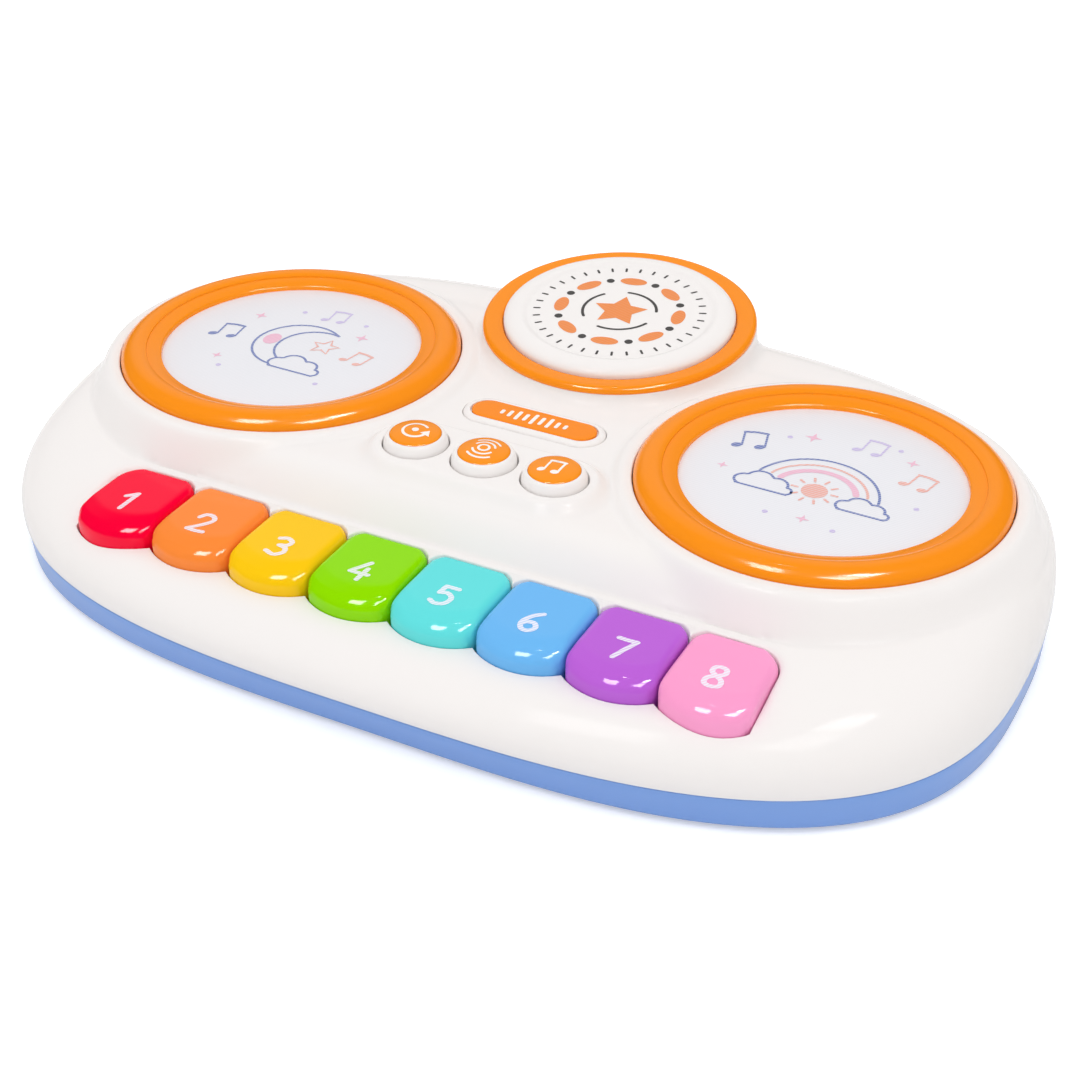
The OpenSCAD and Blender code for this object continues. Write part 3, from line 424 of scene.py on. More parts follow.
# Where the disc post stands on the case, and the round edges of the openings
POST_FOOT_Y = DISC_Y + 0.5
POST_FOOT_R = BEZEL_R + 0.3
POST_FLARE = 3.5
DRUM_LIP = 0.5
BUTTON_LIP = 0.25
PILL_LIP = 0.2
SLOT_LIP = 0.2


def openings(x, y):
    """Distance to the edge of each kind of opening, with the radius of that edge."""
    button = np.min([np.hypot(x - x0, y - BUTTON_Y) for x0 in BUTTON_X], 0)
    pill = stadium_distance(x, y, PILL_Y, PILL_STRAIGHT)
    return [(drum_distance(x, y) - DRUM_HOLE_R, DRUM_LIP), (button - BUTTON_R - BUTTON_GAP, BUTTON_LIP),
            (pill - PILL_R - PILL_GAP, PILL_LIP)]


def post_distance(x, y):
    return np.hypot(x, y - POST_FOOT_Y) - POST_FOOT_R


def shell_height(x, y):
    z = with_trough(body_height(x, y), x, y)
    for distance, lip in openings(x, y):
        z = z - edge_drop(distance, lip)
    return z + edge_drop(post_distance(x, y), POST_FLARE)


# Making meshes
def add_object(name, data):
    made = bpy.data.objects.new(name, data)
    bpy.context.scene.collection.objects.link(made)
    return made


def add_mesh(name, points, faces, body, replaces=None, slot=None, material=None, sharp=30):
    """A piece of the object: points in millimetres, welded, smooth, on a body of the frame. Its material is
    that of the slot of the node that it replaces, unless a slot or a material is given."""
    slot = slot or SLOT_OF[replaces]
    mesh = bpy.data.meshes.new(name)
    corners = [tuple(int(i) for i in face) for face in faces]
    mesh.from_pydata((np.asarray(points, float) * MM).tolist(), [], corners)
    work = bmesh.new()
    work.from_mesh(mesh)
    bmesh.ops.remove_doubles(work, verts=work.verts, dist=2e-6)
    bmesh.ops.dissolve_degenerate(work, edges=work.edges, dist=1e-7)
    bmesh.ops.delete(work, geom=[v for v in work.verts if not v.link_faces], context="VERTS")
    work.to_mesh(mesh)
    work.free()
    mesh.shade_smooth()
    if sharp:
        mesh.set_sharp_from_angle(angle=math.radians(sharp))
    mesh.materials.append(material or SLOT_MATERIALS[slot])
    piece = add_object(name, mesh)
    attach(piece, body)
    if replaces:
        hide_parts(replaces)
    return piece


class Builder:
    """Collects points and faces of one mesh. Faces run anticlockwise, seen from outside."""

    def __init__(self):
        self.points = []
        self.faces = []

    def add(self, points, faces):
        start = sum(len(p) for p in self.points)
        self.points.append(np.asarray(points, float))
        self.faces += [[start + i for i in face] for face in faces]

    def rings(self, rings, closed=True):
        """Quads between rings of as many points each, from the lowest ring up."""
        n = len(rings[0])
        faces = []
        for k in range(len(rings) - 1):
            for j in range(n if closed else n - 1):
                j1 = (j + 1) % n
                faces.append([k * n + j, k * n + j1, (k + 1) * n + j1, (k + 1) * n + j])
        self.add(np.vstack(rings), faces)

    def revolve(self, profile, segments):
        """Turns a profile of (radius, height) about the Z axis."""
        self.rings([with_height(circle(0, 0, r, segments), z) for r, z in profile])

    def box(self, low, high):
        x, y, z = zip(low, high)
        corners = [[x[i], y[j], z[k]] for k in (0, 1) for j in (0, 1) for i in (0, 1)]
        self.add(corners, [[0, 2, 3, 1], [4, 5, 7, 6], [0, 1, 5, 4],
                           [2, 6, 7, 3], [0, 4, 6, 2], [1, 3, 7, 5]])

    def make(self, name, body, place=None, **options):
        points = np.vstack(self.points)
        if place:
            points = place(points)
        return add_mesh(name, points, self.faces, body, **options)


def shift(x, y):
    return lambda points: points + np.array([x, y, 0])


def in_disc_frame(points):
    """From the disc's own frame, with its middle on top of the post, to the part's frame."""
    c = math.cos(DISC_TILT)
    s = math.sin(DISC_TILT)
    x, y, z = points.T
    return coords(x, DISC_Y + y * c - z * s, DISC_AT[2] + y * s + z * c)


def flat_mesh(lines, extra=np.empty((0, 2))):
    """Triangles of the plane with lines of points as edges. Each line is (points, closed, keep)."""
    points = []
    edges = []
    for line, closed, keep in lines:
        index = {}
        for i in np.flatnonzero(keep):
            index[i] = len(points)
            points.append(line[i])
        for i in range(len(line) if closed else len(line) - 1):
            j = (i + 1) % len(line)
            if i in index and j in index:
                edges.append((index[i], index[j]))
    points = np.vstack([np.array(points), extra])
    found, _, faces, _, _, _ = delaunay_2d_cdt(points.tolist(), edges, [], 0, 1e-5)
    return np.array([tuple(v) for v in found]), np.array([list(f) for f in faces])


def full(line):
    """A closed line with all its points, for flat_mesh."""
    return line, True, np.ones(len(line), bool)


def open_edges(faces):
    """Edges with a face on one side only, in the order that the face has them."""
    found = {}
    for face in faces:
        for a, b in zip(face, np.roll(face, -1)):
            found.setdefault((min(a, b), max(a, b)), []).append((a, b))
    return [pairs[0] for pairs in found.values() if len(pairs) == 1]


# Materials
HATCH_SCALE = 360
HATCH_TURN = math.radians(35)


def srgb(code):
    """Linear colour of a #rrggbb code."""
    value = [int(code[i:i + 2], 16) / 255 for i in (1, 3, 5)]
    return tuple(v / 12.92 if v <= 0.04045 else ((v + 0.055) / 1.055) ** 2.4 for v in value) + (1,)


def shade(colour, factor):
    return tuple(c * factor for c in colour[:3]) + (1,)


class Tree:
    """The nodes of a material or world, and short ways to add and feed them."""

    def __init__(self, owner, main):
        owner.use_nodes = True
        self.tree = owner.node_tree
        self.main = self.tree.nodes[main].inputs

    def feed(self, socket, value):
        """Sets a socket to a value, or links another node's output to it."""
        if isinstance(value, bpy.types.NodeSocket):
            self.tree.links.new(value, socket)
        else:
            socket.default_value = value

    def set(self, **values):
        """Feeds the sockets of the main shader."""
        for name, value in values.items():
            self.feed(self.main[name.replace("_", " ").title().replace("Ior", "IOR")], value)

    def node(self, kind, output, inputs={}, **settings):
        """A new node with its inputs fed. Gives one of its outputs."""
        node = self.tree.nodes.new("ShaderNode" + kind)
        for name, value in settings.items():
            setattr(node, name, value)
        for name, value in inputs.items():
            self.feed(node.inputs[name], value)
        return node.outputs[output]


class Shader(Tree):
    """A material and the textures of its surface."""

    def __init__(self, name):
        self.material = bpy.data.materials.new(name)
        super().__init__(self.material, "Principled BSDF")
        self.place = self.node("TexCoord", "Object")

    def noise(self, scale, detail):
        return self.node("TexNoise", "Fac", {"Scale": scale, "Detail": detail, "Vector": self.place})

    def hatching(self, distortion):
        """Fine slanting waves."""
        slant = self.node("Mapping", "Vector", {"Rotation": (0, 0, HATCH_TURN), "Vector": self.place})
        waves = {"Scale": HATCH_SCALE, "Distortion": distortion, "Vector": slant}
        return self.node("TexWave", "Fac", waves)

    def colour(self, value, a, b):
        self.set(base_color=self.node("Mix", "Result", {"A": a, "B": b, "Factor": value}, data_type="RGBA"))

    def gloss(self, value, low, high):
        spread = {"Value": value, "From Min": 0.3, "From Max": 0.7, "To Min": low, "To Max": high}
        self.set(roughness=self.node("MapRange", "Result", spread))

    def bump(self, value, strength, depth):
        relief = {"Strength": strength, "Distance": depth, "Height": value}
        self.set(normal=self.node("Bump", "Normal", relief))


def surface(name, code, drift, gloss, bump, **values):
    """A material from three noises. Each has a scale, a detail and what it does: the colour's darkest share,
    the range of roughness, or the strength and depth of bumps."""
    shader = Shader(name)
    colour = srgb(code)
    shader.colour(shader.noise(*drift[:2]), shade(colour, drift[2]), colour)
    shader.gloss(shader.noise(*gloss[:2]), *gloss[2:])
    shader.bump(shader.noise(*bump[:2]), *bump[2:])
    shader.set(**values)
    return shader.material


def moulded(name, code, rough=0.28, coat=0.25, drift=0.02, peel=0.02, shine=0.5):
    """Moulded plastic: a faint drift of its colour, uneven gloss and a soft orange peel."""
    gloss = (70, 4, rough - 0.02, rough + 0.03)
    return surface(name, code, (22, 3, 1 - drift), gloss, (420, 3, peel, 0.0004),
                   coat_weight=coat, coat_roughness=0.06, specular_ior_level=shine)


def metal(name, code, rough):
    return surface(name, code, (180, 4, 0.86), (900, 4, rough - 0.08, rough + 0.1), (1500, 2, 0.06, 0.0001),
                   metallic=1.0)


def rubbery(name, code, rough=0.7):
    return surface(name, code, (160, 4, 0.85), (400, 3, rough - 0.08, rough + 0.1), (1800, 3, 0.2, 0.0002))


def printed(name, code, under, hatch=0.5):
    """Ink on a sheet, broken by fine slanting hatching."""
    shader = Shader(name)
    ink = srgb(code)
    mixed = tuple(i * (1 - hatch) + p * hatch for i, p in zip(ink, srgb(under)))
    shader.colour(shader.hatching(0.6), ink, mixed)
    shader.gloss(shader.noise(300, 2), 0.42, 0.55)
    return shader.material


def drum_sheet(name, code):
    """A satin sheet with a fine slanting texture, and a soft unevenness."""
    shader = Shader(name)
    colour = srgb(code)
    shader.colour(shader.hatching(0.5), shade(colour, 0.955), colour)
    shader.bump(shader.noise(60, 4), 0.05, 0.0004)
    shader.gloss(shader.noise(120, 3), 0.36, 0.46)
    shader.set(coat_weight=0.08, coat_roughness=0.25)
    return shader.material


WHITE_CODE = "#f5f1ef"
SHEET_CODE = "#f1f1f6"
ORANGE_CODE = "#ff9418"
LEGEND_CODE = "#f6f3ff"
KEY_CODES = {"red": "#ff0038", "orange": "#ff8d3b", "yellow": "#ffcb12", "green": "#92e100",
             "turquoise": "#66e3e3", "blue": "#70bbf6", "purple": "#bf64db", "pink": "#ffa2d1"}
PILL_ORANGE = moulded("long_button_orange", "#ff8f18", rough=0.14, coat=0.12, shine=0.18)
CAP_ORANGE = moulded("button_orange", "#ff9720", rough=0.14, coat=0.12, shine=0.18)
LEGEND = {key: printed(f"legend_{key}", LEGEND_CODE, code, 0.45) for key, code in KEY_CODES.items()}
ICON = printed("icon_white", "#fffaf4", ORANGE_CODE, 0.06)
SLOT_MATERIALS = {
    "white_plastic": moulded("white_plastic", WHITE_CODE, rough=0.11, coat=0.0, drift=0.006, shine=0.018),
    "blue_plastic": moulded("blue_plastic", "#769fe2", rough=0.32, coat=0.3),
    "orange_plastic": moulded("orange_plastic", ORANGE_CODE, rough=0.15, coat=0.1, peel=0.01, shine=0.17),
    "drum_sheet": drum_sheet("drum_sheet", SHEET_CODE),
    "steel": metal("zinc_steel", "#c3c5ca", 0.34),
    "circuit_board": moulded("solder_mask", "#27703f", rough=0.34, drift=0.12),
    "silicone": rubbery("silicone", "#d4d6d3", 0.55),
    "grey_plastic": moulded("grey_plastic", "#c2c4c2", rough=0.42, coat=0.0),
    "black_plastic": moulded("black_plastic", "#262628", rough=0.42, coat=0.0, drift=0.1),
    "foot_rubber": rubbery("foot_rubber", "#3a3a3d"),
    "paper_cone": rubbery("paper_cone", "#37373a", 0.8),
    "led_lens": moulded("led_lens", "#fff3c4", rough=0.12, coat=0.5),
    "battery_jacket": moulded("battery_jacket", "#3f7a45", rough=0.3, drift=0.08),
}
for key, code in KEY_CODES.items():
    SLOT_MATERIALS[f"key_{key}"] = moulded(f"{key}_plastic", code, rough=0.06, coat=0.07, shine=0.17)
for node, slot in SLOT_OF.items():
    NODES[node].data.materials.clear()
    NODES[node].data.materials.append(SLOT_MATERIALS[slot])


# The upper shell
BAND_STEPS = [0.35, 0.7, 1.2, 1.9, 2.8, 3.9, 5.2, 6.7, 8.5, 10.6, 13, 16]
BAND_EDGE = BAND_STEPS[0]
LIP_STEPS = [0, 0.03, 0.12, 0.3, 0.6, 1]
BOSS_STEPS = [-2, -0.8, 0, 0.8, 1.8, 3, 4.2, 5.2, 6.2, 7.4]
MOUND_STEPS = [-0.9, -0.3, 0.4, 1.2, 2, 2.8, 3.6, 4.5, 5.4]
WALL_STEPS = [-WALL_DRAFT, 0, 0.05, 0.2, 0.5, 0.9, 1.4, 2, 2.7, 3.6]
BELLY_SHARES = [0.95, 0.85, 0.6, 0.35, 0.15, 0]
GRID_STEP = 1.7
WALL_DEPTH = 3.2
RIM_INSET = 2.4
TOOTH_DROP = 0.3
TOOTH_SLOPE = 0.14
TOOTH_EDGE = 0.35


def inner(line, closed=True):
    """A line without the points at or past the shell's outer edge, for flat_mesh."""
    return line, closed, edge_distance(*line.T) > BAND_EDGE + 0.25


def lip_radii(r, lip):
    """Radii that follow the round edge of an opening."""
    return [r + lip * step for step in LIP_STEPS]


def shell_lines():
    lines = [full(outline_ring(step)) for step in BAND_STEPS]
    drum_radii = lip_radii(DRUM_HOLE_R, DRUM_LIP) + [BOSS_R + step for step in BOSS_STEPS]
    for side in SIDES.values():
        lines += [inner(circle(side * DRUM_X, DRUM_Y, r, 220)) for r in drum_radii]
    for x in BUTTON_X:
        lines += [full(circle(x, BUTTON_Y, r, 72)) for r in lip_radii(BUTTON_R + BUTTON_GAP, BUTTON_LIP)]
    lines += [full(stadium(BUTTON_Y, BUTTON_PITCH, MOUND_R + step, 120)) for step in MOUND_STEPS]
    lines += [full(stadium(PILL_Y, PILL_STRAIGHT, r, 96)) for r in lip_radii(PILL_R + PILL_GAP, PILL_LIP)]
    post_radii = lip_radii(POST_FOOT_R, POST_FLARE) + [POST_FOOT_R + 1.5 * POST_FLARE]
    lines += [inner(circle(0, POST_FOOT_Y, r, 200)) for r in post_radii]
    lines += [inner(trough_line(step), closed=False) for step in WALL_STEPS]
    return lines + [full(slot_loop(grow)) for grow in (SEEN_GAP, SEEN_GAP + SLOT_LIP)]


def grid_points(lines):
    """Evenly spread points away from all the lines."""
    taken = np.vstack([line for line, _, _ in lines])
    tree = KDTree(len(taken))
    for i, point in enumerate(taken):
        tree.insert((*point, 0), i)
    tree.balance()
    across = np.arange(-HALF_W, HALF_W, GRID_STEP)
    rows = np.arange(FRONT_Y, BACK_Y, GRID_STEP * math.sqrt(3) / 2)
    points = np.vstack([coords(across + (k % 2) * GRID_STEP / 2, y) for k, y in enumerate(rows)])
    points = points[edge_distance(*points.T) > BAND_STEPS[-1]]
    near = np.array([tree.find((*p, 0))[2] for p in points])
    return points[near > 0.8 * GRID_STEP]


def shell_holes(x, y):
    """Which points lie in an opening of the upper shell."""
    hole = (edge_distance(x, y) < BAND_EDGE - 0.1) | (post_distance(x, y) < 0)
    for distance, _ in openings(x, y):
        hole |= distance < 0
    return hole | inside_loop(x, y, slot_loop(SEEN_GAP))


def add_walls(shell, top, edges):
    """Short walls down from the edges of the openings, and the disc post up from its foot."""
    for a, b in edges:
        pair = top[[b, a]]
        if abs(post_distance(*pair.mean(0)[:2])) < 0.3:
            turn = np.arctan2(pair[::-1, 1] - POST_FOOT_Y, pair[::-1, 0])
            rim = with_height(polar(0, 0, BEZEL_R, turn), 0)
            rows = [pair, in_disc_frame(rim), in_disc_frame(rim * 0.2)]
            shell.add(np.vstack(rows), [[0, 1, 2, 3], [3, 2, 4, 5]])
        else:
            shell.add(np.vstack([pair, pair[::-1] - [0, 0, WALL_DEPTH]]), [[0, 1, 2, 3]])


def add_teeth(shell):
    """Points of the trough's back wall that fill the notches between the keys' round corners."""
    r = KEY_CORNER + (KEY_PITCH - KEY_W) / 2
    side = polar(-r, KEY_BACK_Y - KEY_CORNER, r, np.radians(np.linspace(90, 20, 12)))
    back = coords([r, -r], TROUGH_BACK_Y + 0.3)
    for x0 in KEY_X[:-1]:
        gap_x = x0 + KEY_PITCH / 2
        loop = np.vstack([side, side[::-1] * [-1, 1], back]) + [gap_x, 0]
        inset = loop + 0.25 * (np.array([gap_x, KEY_BACK_Y]) - loop) * [1, 0.4]
        height = body_height(*loop.T) - TOOTH_DROP - TOOTH_SLOPE * (TROUGH_BACK_Y - loop[:, 1])
        top = with_height(inset, height)
        shell.rings([with_height(loop, TROUGH_Z), with_height(loop, height - TOOTH_EDGE), top])
        shell.add(top, [list(range(len(loop)))])


def make_top_shell():
    lines = shell_lines()
    plan, faces = flat_mesh(lines, grid_points(lines))
    faces = faces[~shell_holes(*plan[faces].mean(1).T)]
    top = with_height(plan, shell_height(*plan.T))
    shell = Builder()
    shell.add(top, faces)
    edges = np.array(open_edges(faces))
    add_walls(shell, top, edges[edge_distance(*plan[edges].mean(1).T) > BAND_EDGE + 0.1])
    rings = [outline_level(RIM_INSET, 1, PARTING_Z), outline_level(0.3, 1, PARTING_Z),
             outline_level(0.12, 1, PARTING_Z + 0.03)]
    rings += [outline_level(0, share ** 2, BELLY_Z - BELLY_H * share) for share in BELLY_SHARES]
    for inset in (0.02, 0.08, 0.2, BAND_EDGE):
        loop = outline_ring(inset)
        rings.append(with_height(loop, shell_height(*loop.T)))
    shell.rings(rings)
    add_teeth(shell)
    shell.make("upper_case", "case", replaces="top_shell", sharp=50)


make_top_shell()


# The base tray with its openings underneath
SCREW_HOLE_R = 3.3
SCREW_HOLE_DEPTH = 6
SCREW_PLACES = [(HALF_W - 24.5, ROD_Y + 1.6), (DRUM_X - 5, DRUM_Y + DRUM_HOLE_R + 11),
                (PILL_HALF + 6, (PILL_Y + DISC_Y) / 2)]
GRILLE_PITCH = 5.6
GRILLE_HOLE_R = 1.5
GRILLE_REACH = 23
FLOOR_T = 2.2
FOOT_R = 7
DOOR_GAP = 0.25
SEAM_R = 0.5


def rectangle(low, high, grow):
    (x0, y0), (x1, y1) = low[:2] - grow, high[:2] + grow
    return np.array([[x0, y0], [x1, y0], [x1, y1], [x0, y1]])


def base_openings():
    """Loops of the openings with the depth of each."""
    knob_low, knob_high = node_box("switch_knob")
    travel = JOINTS["power_switch_slide"]["range_m"][1] / MM
    foot_low, foot_high = node_box("rubber_feet")
    loops = [(rectangle(*node_box("battery_door"), DOOR_GAP), FLOOR_T),
             (rectangle(knob_low, knob_high + [travel, 0, 0], SLIDE_GAP), FLOOR_T)]
    for x in (foot_low[0] + FOOT_R, foot_high[0] - FOOT_R):
        for y in (foot_low[1] + FOOT_R, foot_high[1] - FOOT_R):
            loops.append((circle(x, y, FOOT_R + 0.1, 48), FLOOR_T))
    for side in SIDES.values():
        loops += [(circle(side * x, y, SCREW_HOLE_R, 32), SCREW_HOLE_DEPTH) for x, y in SCREW_PLACES]
    for j in range(-4, 5):
        for i in range(-5, 6):
            x = (i + math.fmod(j, 2) / 2) * GRILLE_PITCH
            y = j * GRILLE_PITCH * math.sqrt(3) / 2
            if math.hypot(x, y) < GRILLE_REACH:
                loops.append((circle(x, DISC_Y + y, GRILLE_HOLE_R, 20), FLOOR_T))
    return loops


def make_base():
    foot_tuck = 1 + BASE_DRAFT / TUCK_FRONT
    outer = outline_ring(BASE_FILLET, foot_tuck)
    rings = []
    for turn in (90, 68, 45, 22, 0):
        x, z = spot(BASE_FILLET, turn)
        rings.append(outline_level(BASE_FILLET - x, foot_tuck, BASE_Z + BASE_FILLET - z))
    for share in (0.7, 0.35):
        z = PARTING_Z + share * (BASE_Z + BASE_FILLET - PARTING_Z)
        rings.append(outline_level(0, 1 + share * (foot_tuck - 1), z))
    for turn in (0, 30, 60, 90):
        x, z = spot(SEAM_R, turn)
        rings.append(outline_level(SEAM_R - x, 1, PARTING_Z - SEAM_R + z))
    rings.append(outline_level(RIM_INSET, 1, PARTING_Z))
    base = Builder()
    base.rings(rings)
    loops = base_openings()
    plan, faces = flat_mesh([full(outer)] + [full(loop) for loop, _ in loops])
    centres = plan[faces].mean(1)
    hole = ~inside_loop(*centres.T, outer)
    for loop, _ in loops:
        hole |= inside_loop(*centres.T, loop)
    base.add(with_height(plan, BASE_Z), faces[~hole][:, ::-1])
    for loop, depth in loops:
        base.rings([with_height(loop, BASE_Z + depth), with_height(loop, BASE_Z)])
    base.make("base_tray", "case", replaces="base_shell", sharp=40)


make_base()


# Keys
KEY_BEVEL_RUN = 7
KEY_BEVEL_SLOPE = 0.3
KEY_CREASE = 0.9
KEY_FRONT_RUN = 3
KEY_FRONT_DROP = 2.6
KEY_SIDE_R = 2.6
KEY_BACK_R = 0.6
KEY_EDGE_POWER = 2.2
NOSE_CORNER = 3.2
NOSE_CORNER_CUT = 0.75
NOSE_CORNER_TURN = 20
ARM_HALF = 5
ARM_RISE = 3
EYE_R = 4
EYE_BORE_R = 1.55


def clustered(count):
    """Numbers from 0 to 1 that crowd towards both ends."""
    t = np.linspace(0, 1, count)
    return t - 0.85 * np.sin(2 * np.pi * t) / (2 * np.pi)


def key_grid(outer):
    """Points of a key's top, by column. The corner on the outer side of an end key is larger."""
    half = KEY_W / 2
    u, v = np.meshgrid(2 * clustered(45) - 1, clustered(57), indexing="ij")
    x = u * half
    nose = NOSE_Y + KEY_NOSE_R - np.sqrt(KEY_NOSE_R ** 2 - x ** 2)
    y = nose + v * (KEY_BACK_Y - nose)
    corner = np.where(u * outer > 0, END_CORNER, KEY_CORNER)
    into_corner = np.clip(y - (KEY_BACK_Y - corner), 0, corner)
    inward = (y - nose) * np.sqrt(1 - (x / KEY_NOSE_R) ** 2)
    x = x - u * (corner - np.sqrt(corner ** 2 - into_corner ** 2))
    bevel = KEY_BEVEL_SLOPE * smooth_max(KEY_BEVEL_RUN - inward, np.zeros_like(inward), KEY_CREASE)
    front = bevel + KEY_FRONT_DROP * roll(inward / KEY_FRONT_RUN)
    side = edge_drop(half * (1 - np.abs(u)), KEY_SIDE_R)
    back = edge_drop(KEY_BACK_Y - y, KEY_BACK_R)
    drop = sum(edge ** KEY_EDGE_POWER for edge in (front, side, back)) ** (1 / KEY_EDGE_POWER)
    nose_end = NOSE_Y + KEY_NOSE_R - math.sqrt(KEY_NOSE_R ** 2 - half ** 2)
    to_corner = np.hypot(half - np.abs(x), y - nose_end)
    near = np.clip(1 - to_corner / NOSE_CORNER, 0, 1) ** 2
    cut_x, cut_y = spot(NOSE_CORNER_CUT, NOSE_CORNER_TURN)
    return coords(x - np.sign(u) * near * cut_x, y + near * cut_y, KEY_TOP_Z - drop)


def make_key(index):
    name = KEYS[index]
    grid = key_grid({0: -1, 7: 1}.get(index, 0))
    key = Builder()
    key.rings([column[::-1] for column in grid], closed=False)
    rim = np.vstack([grid[:, 0], grid[-1, 1:], grid[-2::-1, -1], grid[0, -2:0:-1]])
    skirt = rim * [1, 1, 0] + [0, 0, KEY_SKIRT_Z]
    key.rings([skirt, rim])
    key.add(skirt, [list(range(len(skirt)))[::-1]])
    key.box([-ARM_HALF, KEY_BACK_Y - 1, ROD_Z - ARM_RISE], [ARM_HALF, ROD_Y, ROD_Z + ARM_RISE])
    eye = [(-ARM_HALF, EYE_BORE_R), (-ARM_HALF, EYE_R), (ARM_HALF, EYE_R), (ARM_HALF, EYE_BORE_R)]
    key.rings([coords(x, *circle(ROD_Y, ROD_Z, r, 32).T) for x, r in eye + eye[:1]])
    place = shift(KEY_X[index], 0)
    key.make(f"{name}_key_cap", f"{name}_key", place, replaces=f"key_{name}", sharp=60)


for number in range(8):
    make_key(number)


# Flat prints: ribbons and filled shapes that lie on a surface
PRINT_LIFT = 0.05


class Print:
    """Flat shapes of one ink, laid on a surface given as a height."""

    def __init__(self, height):
        self.height = height
        self.loops = []
        self.tests = []

    def fill(self, loop):
        """A filled outline."""
        loop = np.asarray(loop, float)
        self.loops.append(loop)
        self.tests.append(lambda x, y: inside_loop(x, y, loop))

    def ribbon(self, path, width, closed=False):
        """A stroke of one width along a path, with round ends."""
        p = np.asarray(path, float)
        if closed:
            along = np.roll(p, -1, 0) - np.roll(p, 1, 0)
        else:
            along = np.gradient(p, axis=0)
        along /= np.maximum(np.hypot(*along.T), 1e-9)[:, None]
        across = coords(-along[:, 1], along[:, 0]) * width / 2
        if closed:
            self.loops += [p + across, p - across]
            p = np.vstack([p, p[:1]])
        else:
            turn = np.radians(np.arange(15, 180, 15))[:, None]
            end_cap = p[-1] + across[-1] * np.cos(turn) + along[-1] * width / 2 * np.sin(turn)
            start_cap = p[0] - across[0] * np.cos(turn) - along[0] * width / 2 * np.sin(turn)
            self.loops.append(np.vstack([p + across, end_cap, (p - across)[::-1], start_cap]))
        self.tests.append(lambda x, y: path_distance(x, y, p) < width / 2)

    def make(self, name, body, slot, material, place=None):
        plan, faces = flat_mesh([full(loop) for loop in self.loops])
        x, y = plan[faces].mean(1).T
        inside = np.any([test(x, y) for test in self.tests], 0)
        builder = Builder()
        builder.add(with_height(plan, self.height(*plan.T) + PRINT_LIFT), faces[inside])
        builder.make(name, body, place, slot=slot, material=material, sharp=0)


def level(z):
    """A flat surface at a height."""
    return lambda x, y: np.full_like(x, z)


def star(x, y, r, points=5, depth=0.45, turn=90):
    step = np.arange(2 * points)
    return polar(x, y, np.where(step % 2 == 0, r, r * depth), np.radians(turn + step * 180 / points))


def arc_path(x, y, r, start, end, count=40):
    return polar(x, y, r, np.radians(np.linspace(start, end, count)))


def turned(points, x, y, degrees):
    """Points turned about the origin and then shifted."""
    c, s = spot(1, degrees)
    px, py = np.array(points, float).T
    return coords(x + px * c - py * s, y + px * s + py * c)


def ellipse(x, y, rx, ry, turn=0, count=40):
    return turned(circle(0, 0, 1, count) * [rx, ry], x, y, turn)


# Plain numerals as brush strokes, in a box of height 1
NUMERALS = [
    [("line", [(0.06, 0.72), (0.36, 1), (0.34, 0.5), (0.33, 0)])],
    [("curve", [(0.0, 0.76), (0.12, 0.97), (0.36, 1.0), (0.54, 0.82), (0.46, 0.58), (0.22, 0.27),
                (0.0, 0.02)]),
     ("line", [(0.0, 0.02), (0.3, 0.0), (0.6, 0.04)])],
    [("curve", [(0.04, 0.9), (0.28, 1.0), (0.52, 0.86), (0.46, 0.64), (0.22, 0.55)]),
     ("curve", [(0.22, 0.55), (0.5, 0.47), (0.57, 0.22), (0.34, 0.0), (0.0, 0.1)])],
    [("line", [(0.4, 1), (0.2, 0.66), (0.0, 0.34), (0.3, 0.34), (0.64, 0.36)]),
     ("line", [(0.47, 0.66), (0.45, 0.3), (0.44, 0)])],
    [("line", [(0.56, 0.98), (0.12, 0.97), (0.08, 0.58)]),
     ("curve", [(0.08, 0.58), (0.34, 0.65), (0.57, 0.45), (0.5, 0.12), (0.22, 0.0), (0.0, 0.1)])],
    [("curve", [(0.48, 1.0), (0.2, 0.76), (0.04, 0.36), (0.16, 0.06), (0.4, 0.02), (0.56, 0.24),
                (0.42, 0.46), (0.18, 0.42), (0.06, 0.26)])],
    [("line", [(0.0, 0.97), (0.3, 0.96), (0.6, 0.98), (0.4, 0.5), (0.22, 0)])],
    [("curve", [(0.3, 0.54), (0.1, 0.7), (0.12, 0.92), (0.3, 1.0), (0.48, 0.92), (0.5, 0.7), (0.3, 0.54),
                (0.08, 0.36), (0.08, 0.1), (0.3, 0.0), (0.54, 0.1), (0.52, 0.36), (0.3, 0.54)])],
]
NUMERAL_H = 8.2
NUMERAL_W = 0.6
NUMERAL_STROKE = 1.45
NUMERAL_Y = NOSE_Y + 12.6


def make_legend(index):
    ink = Print(level(KEY_TOP_Z))
    for kind, points in NUMERALS[index]:
        path = (np.array(points) - [NUMERAL_W / 2, 0.5]) * NUMERAL_H + [KEY_X[index], NUMERAL_Y]
        if kind == "curve":
            ink.ribbon(smooth_path(path), NUMERAL_STROKE)
        else:
            for a, b in zip(path, path[1:]):
                ink.ribbon(np.linspace(a, b, 4), NUMERAL_STROKE)
    name = KEYS[index]
    ink.make(f"{name}_key_numeral", f"{name}_key", f"key_{name}", LEGEND[name])


for number in range(8):
    make_legend(number)


# Drums
DRUM_PLACE = {side: shift(sign * DRUM_X, DRUM_Y) for side, sign in SIDES.items()}
HOOP_SINK = 0.6
HOOP_BEAD = (5.2, 4.2)
HOOP_FALL = (2.5, 0.65)
HOOP_STEP = (0.1, 0.4)
HOOP_LIP = (0.8, 1.5)
HOOP_LIP_R = 0.75
HOOP_INNER_R = HEAD_R - 0.1


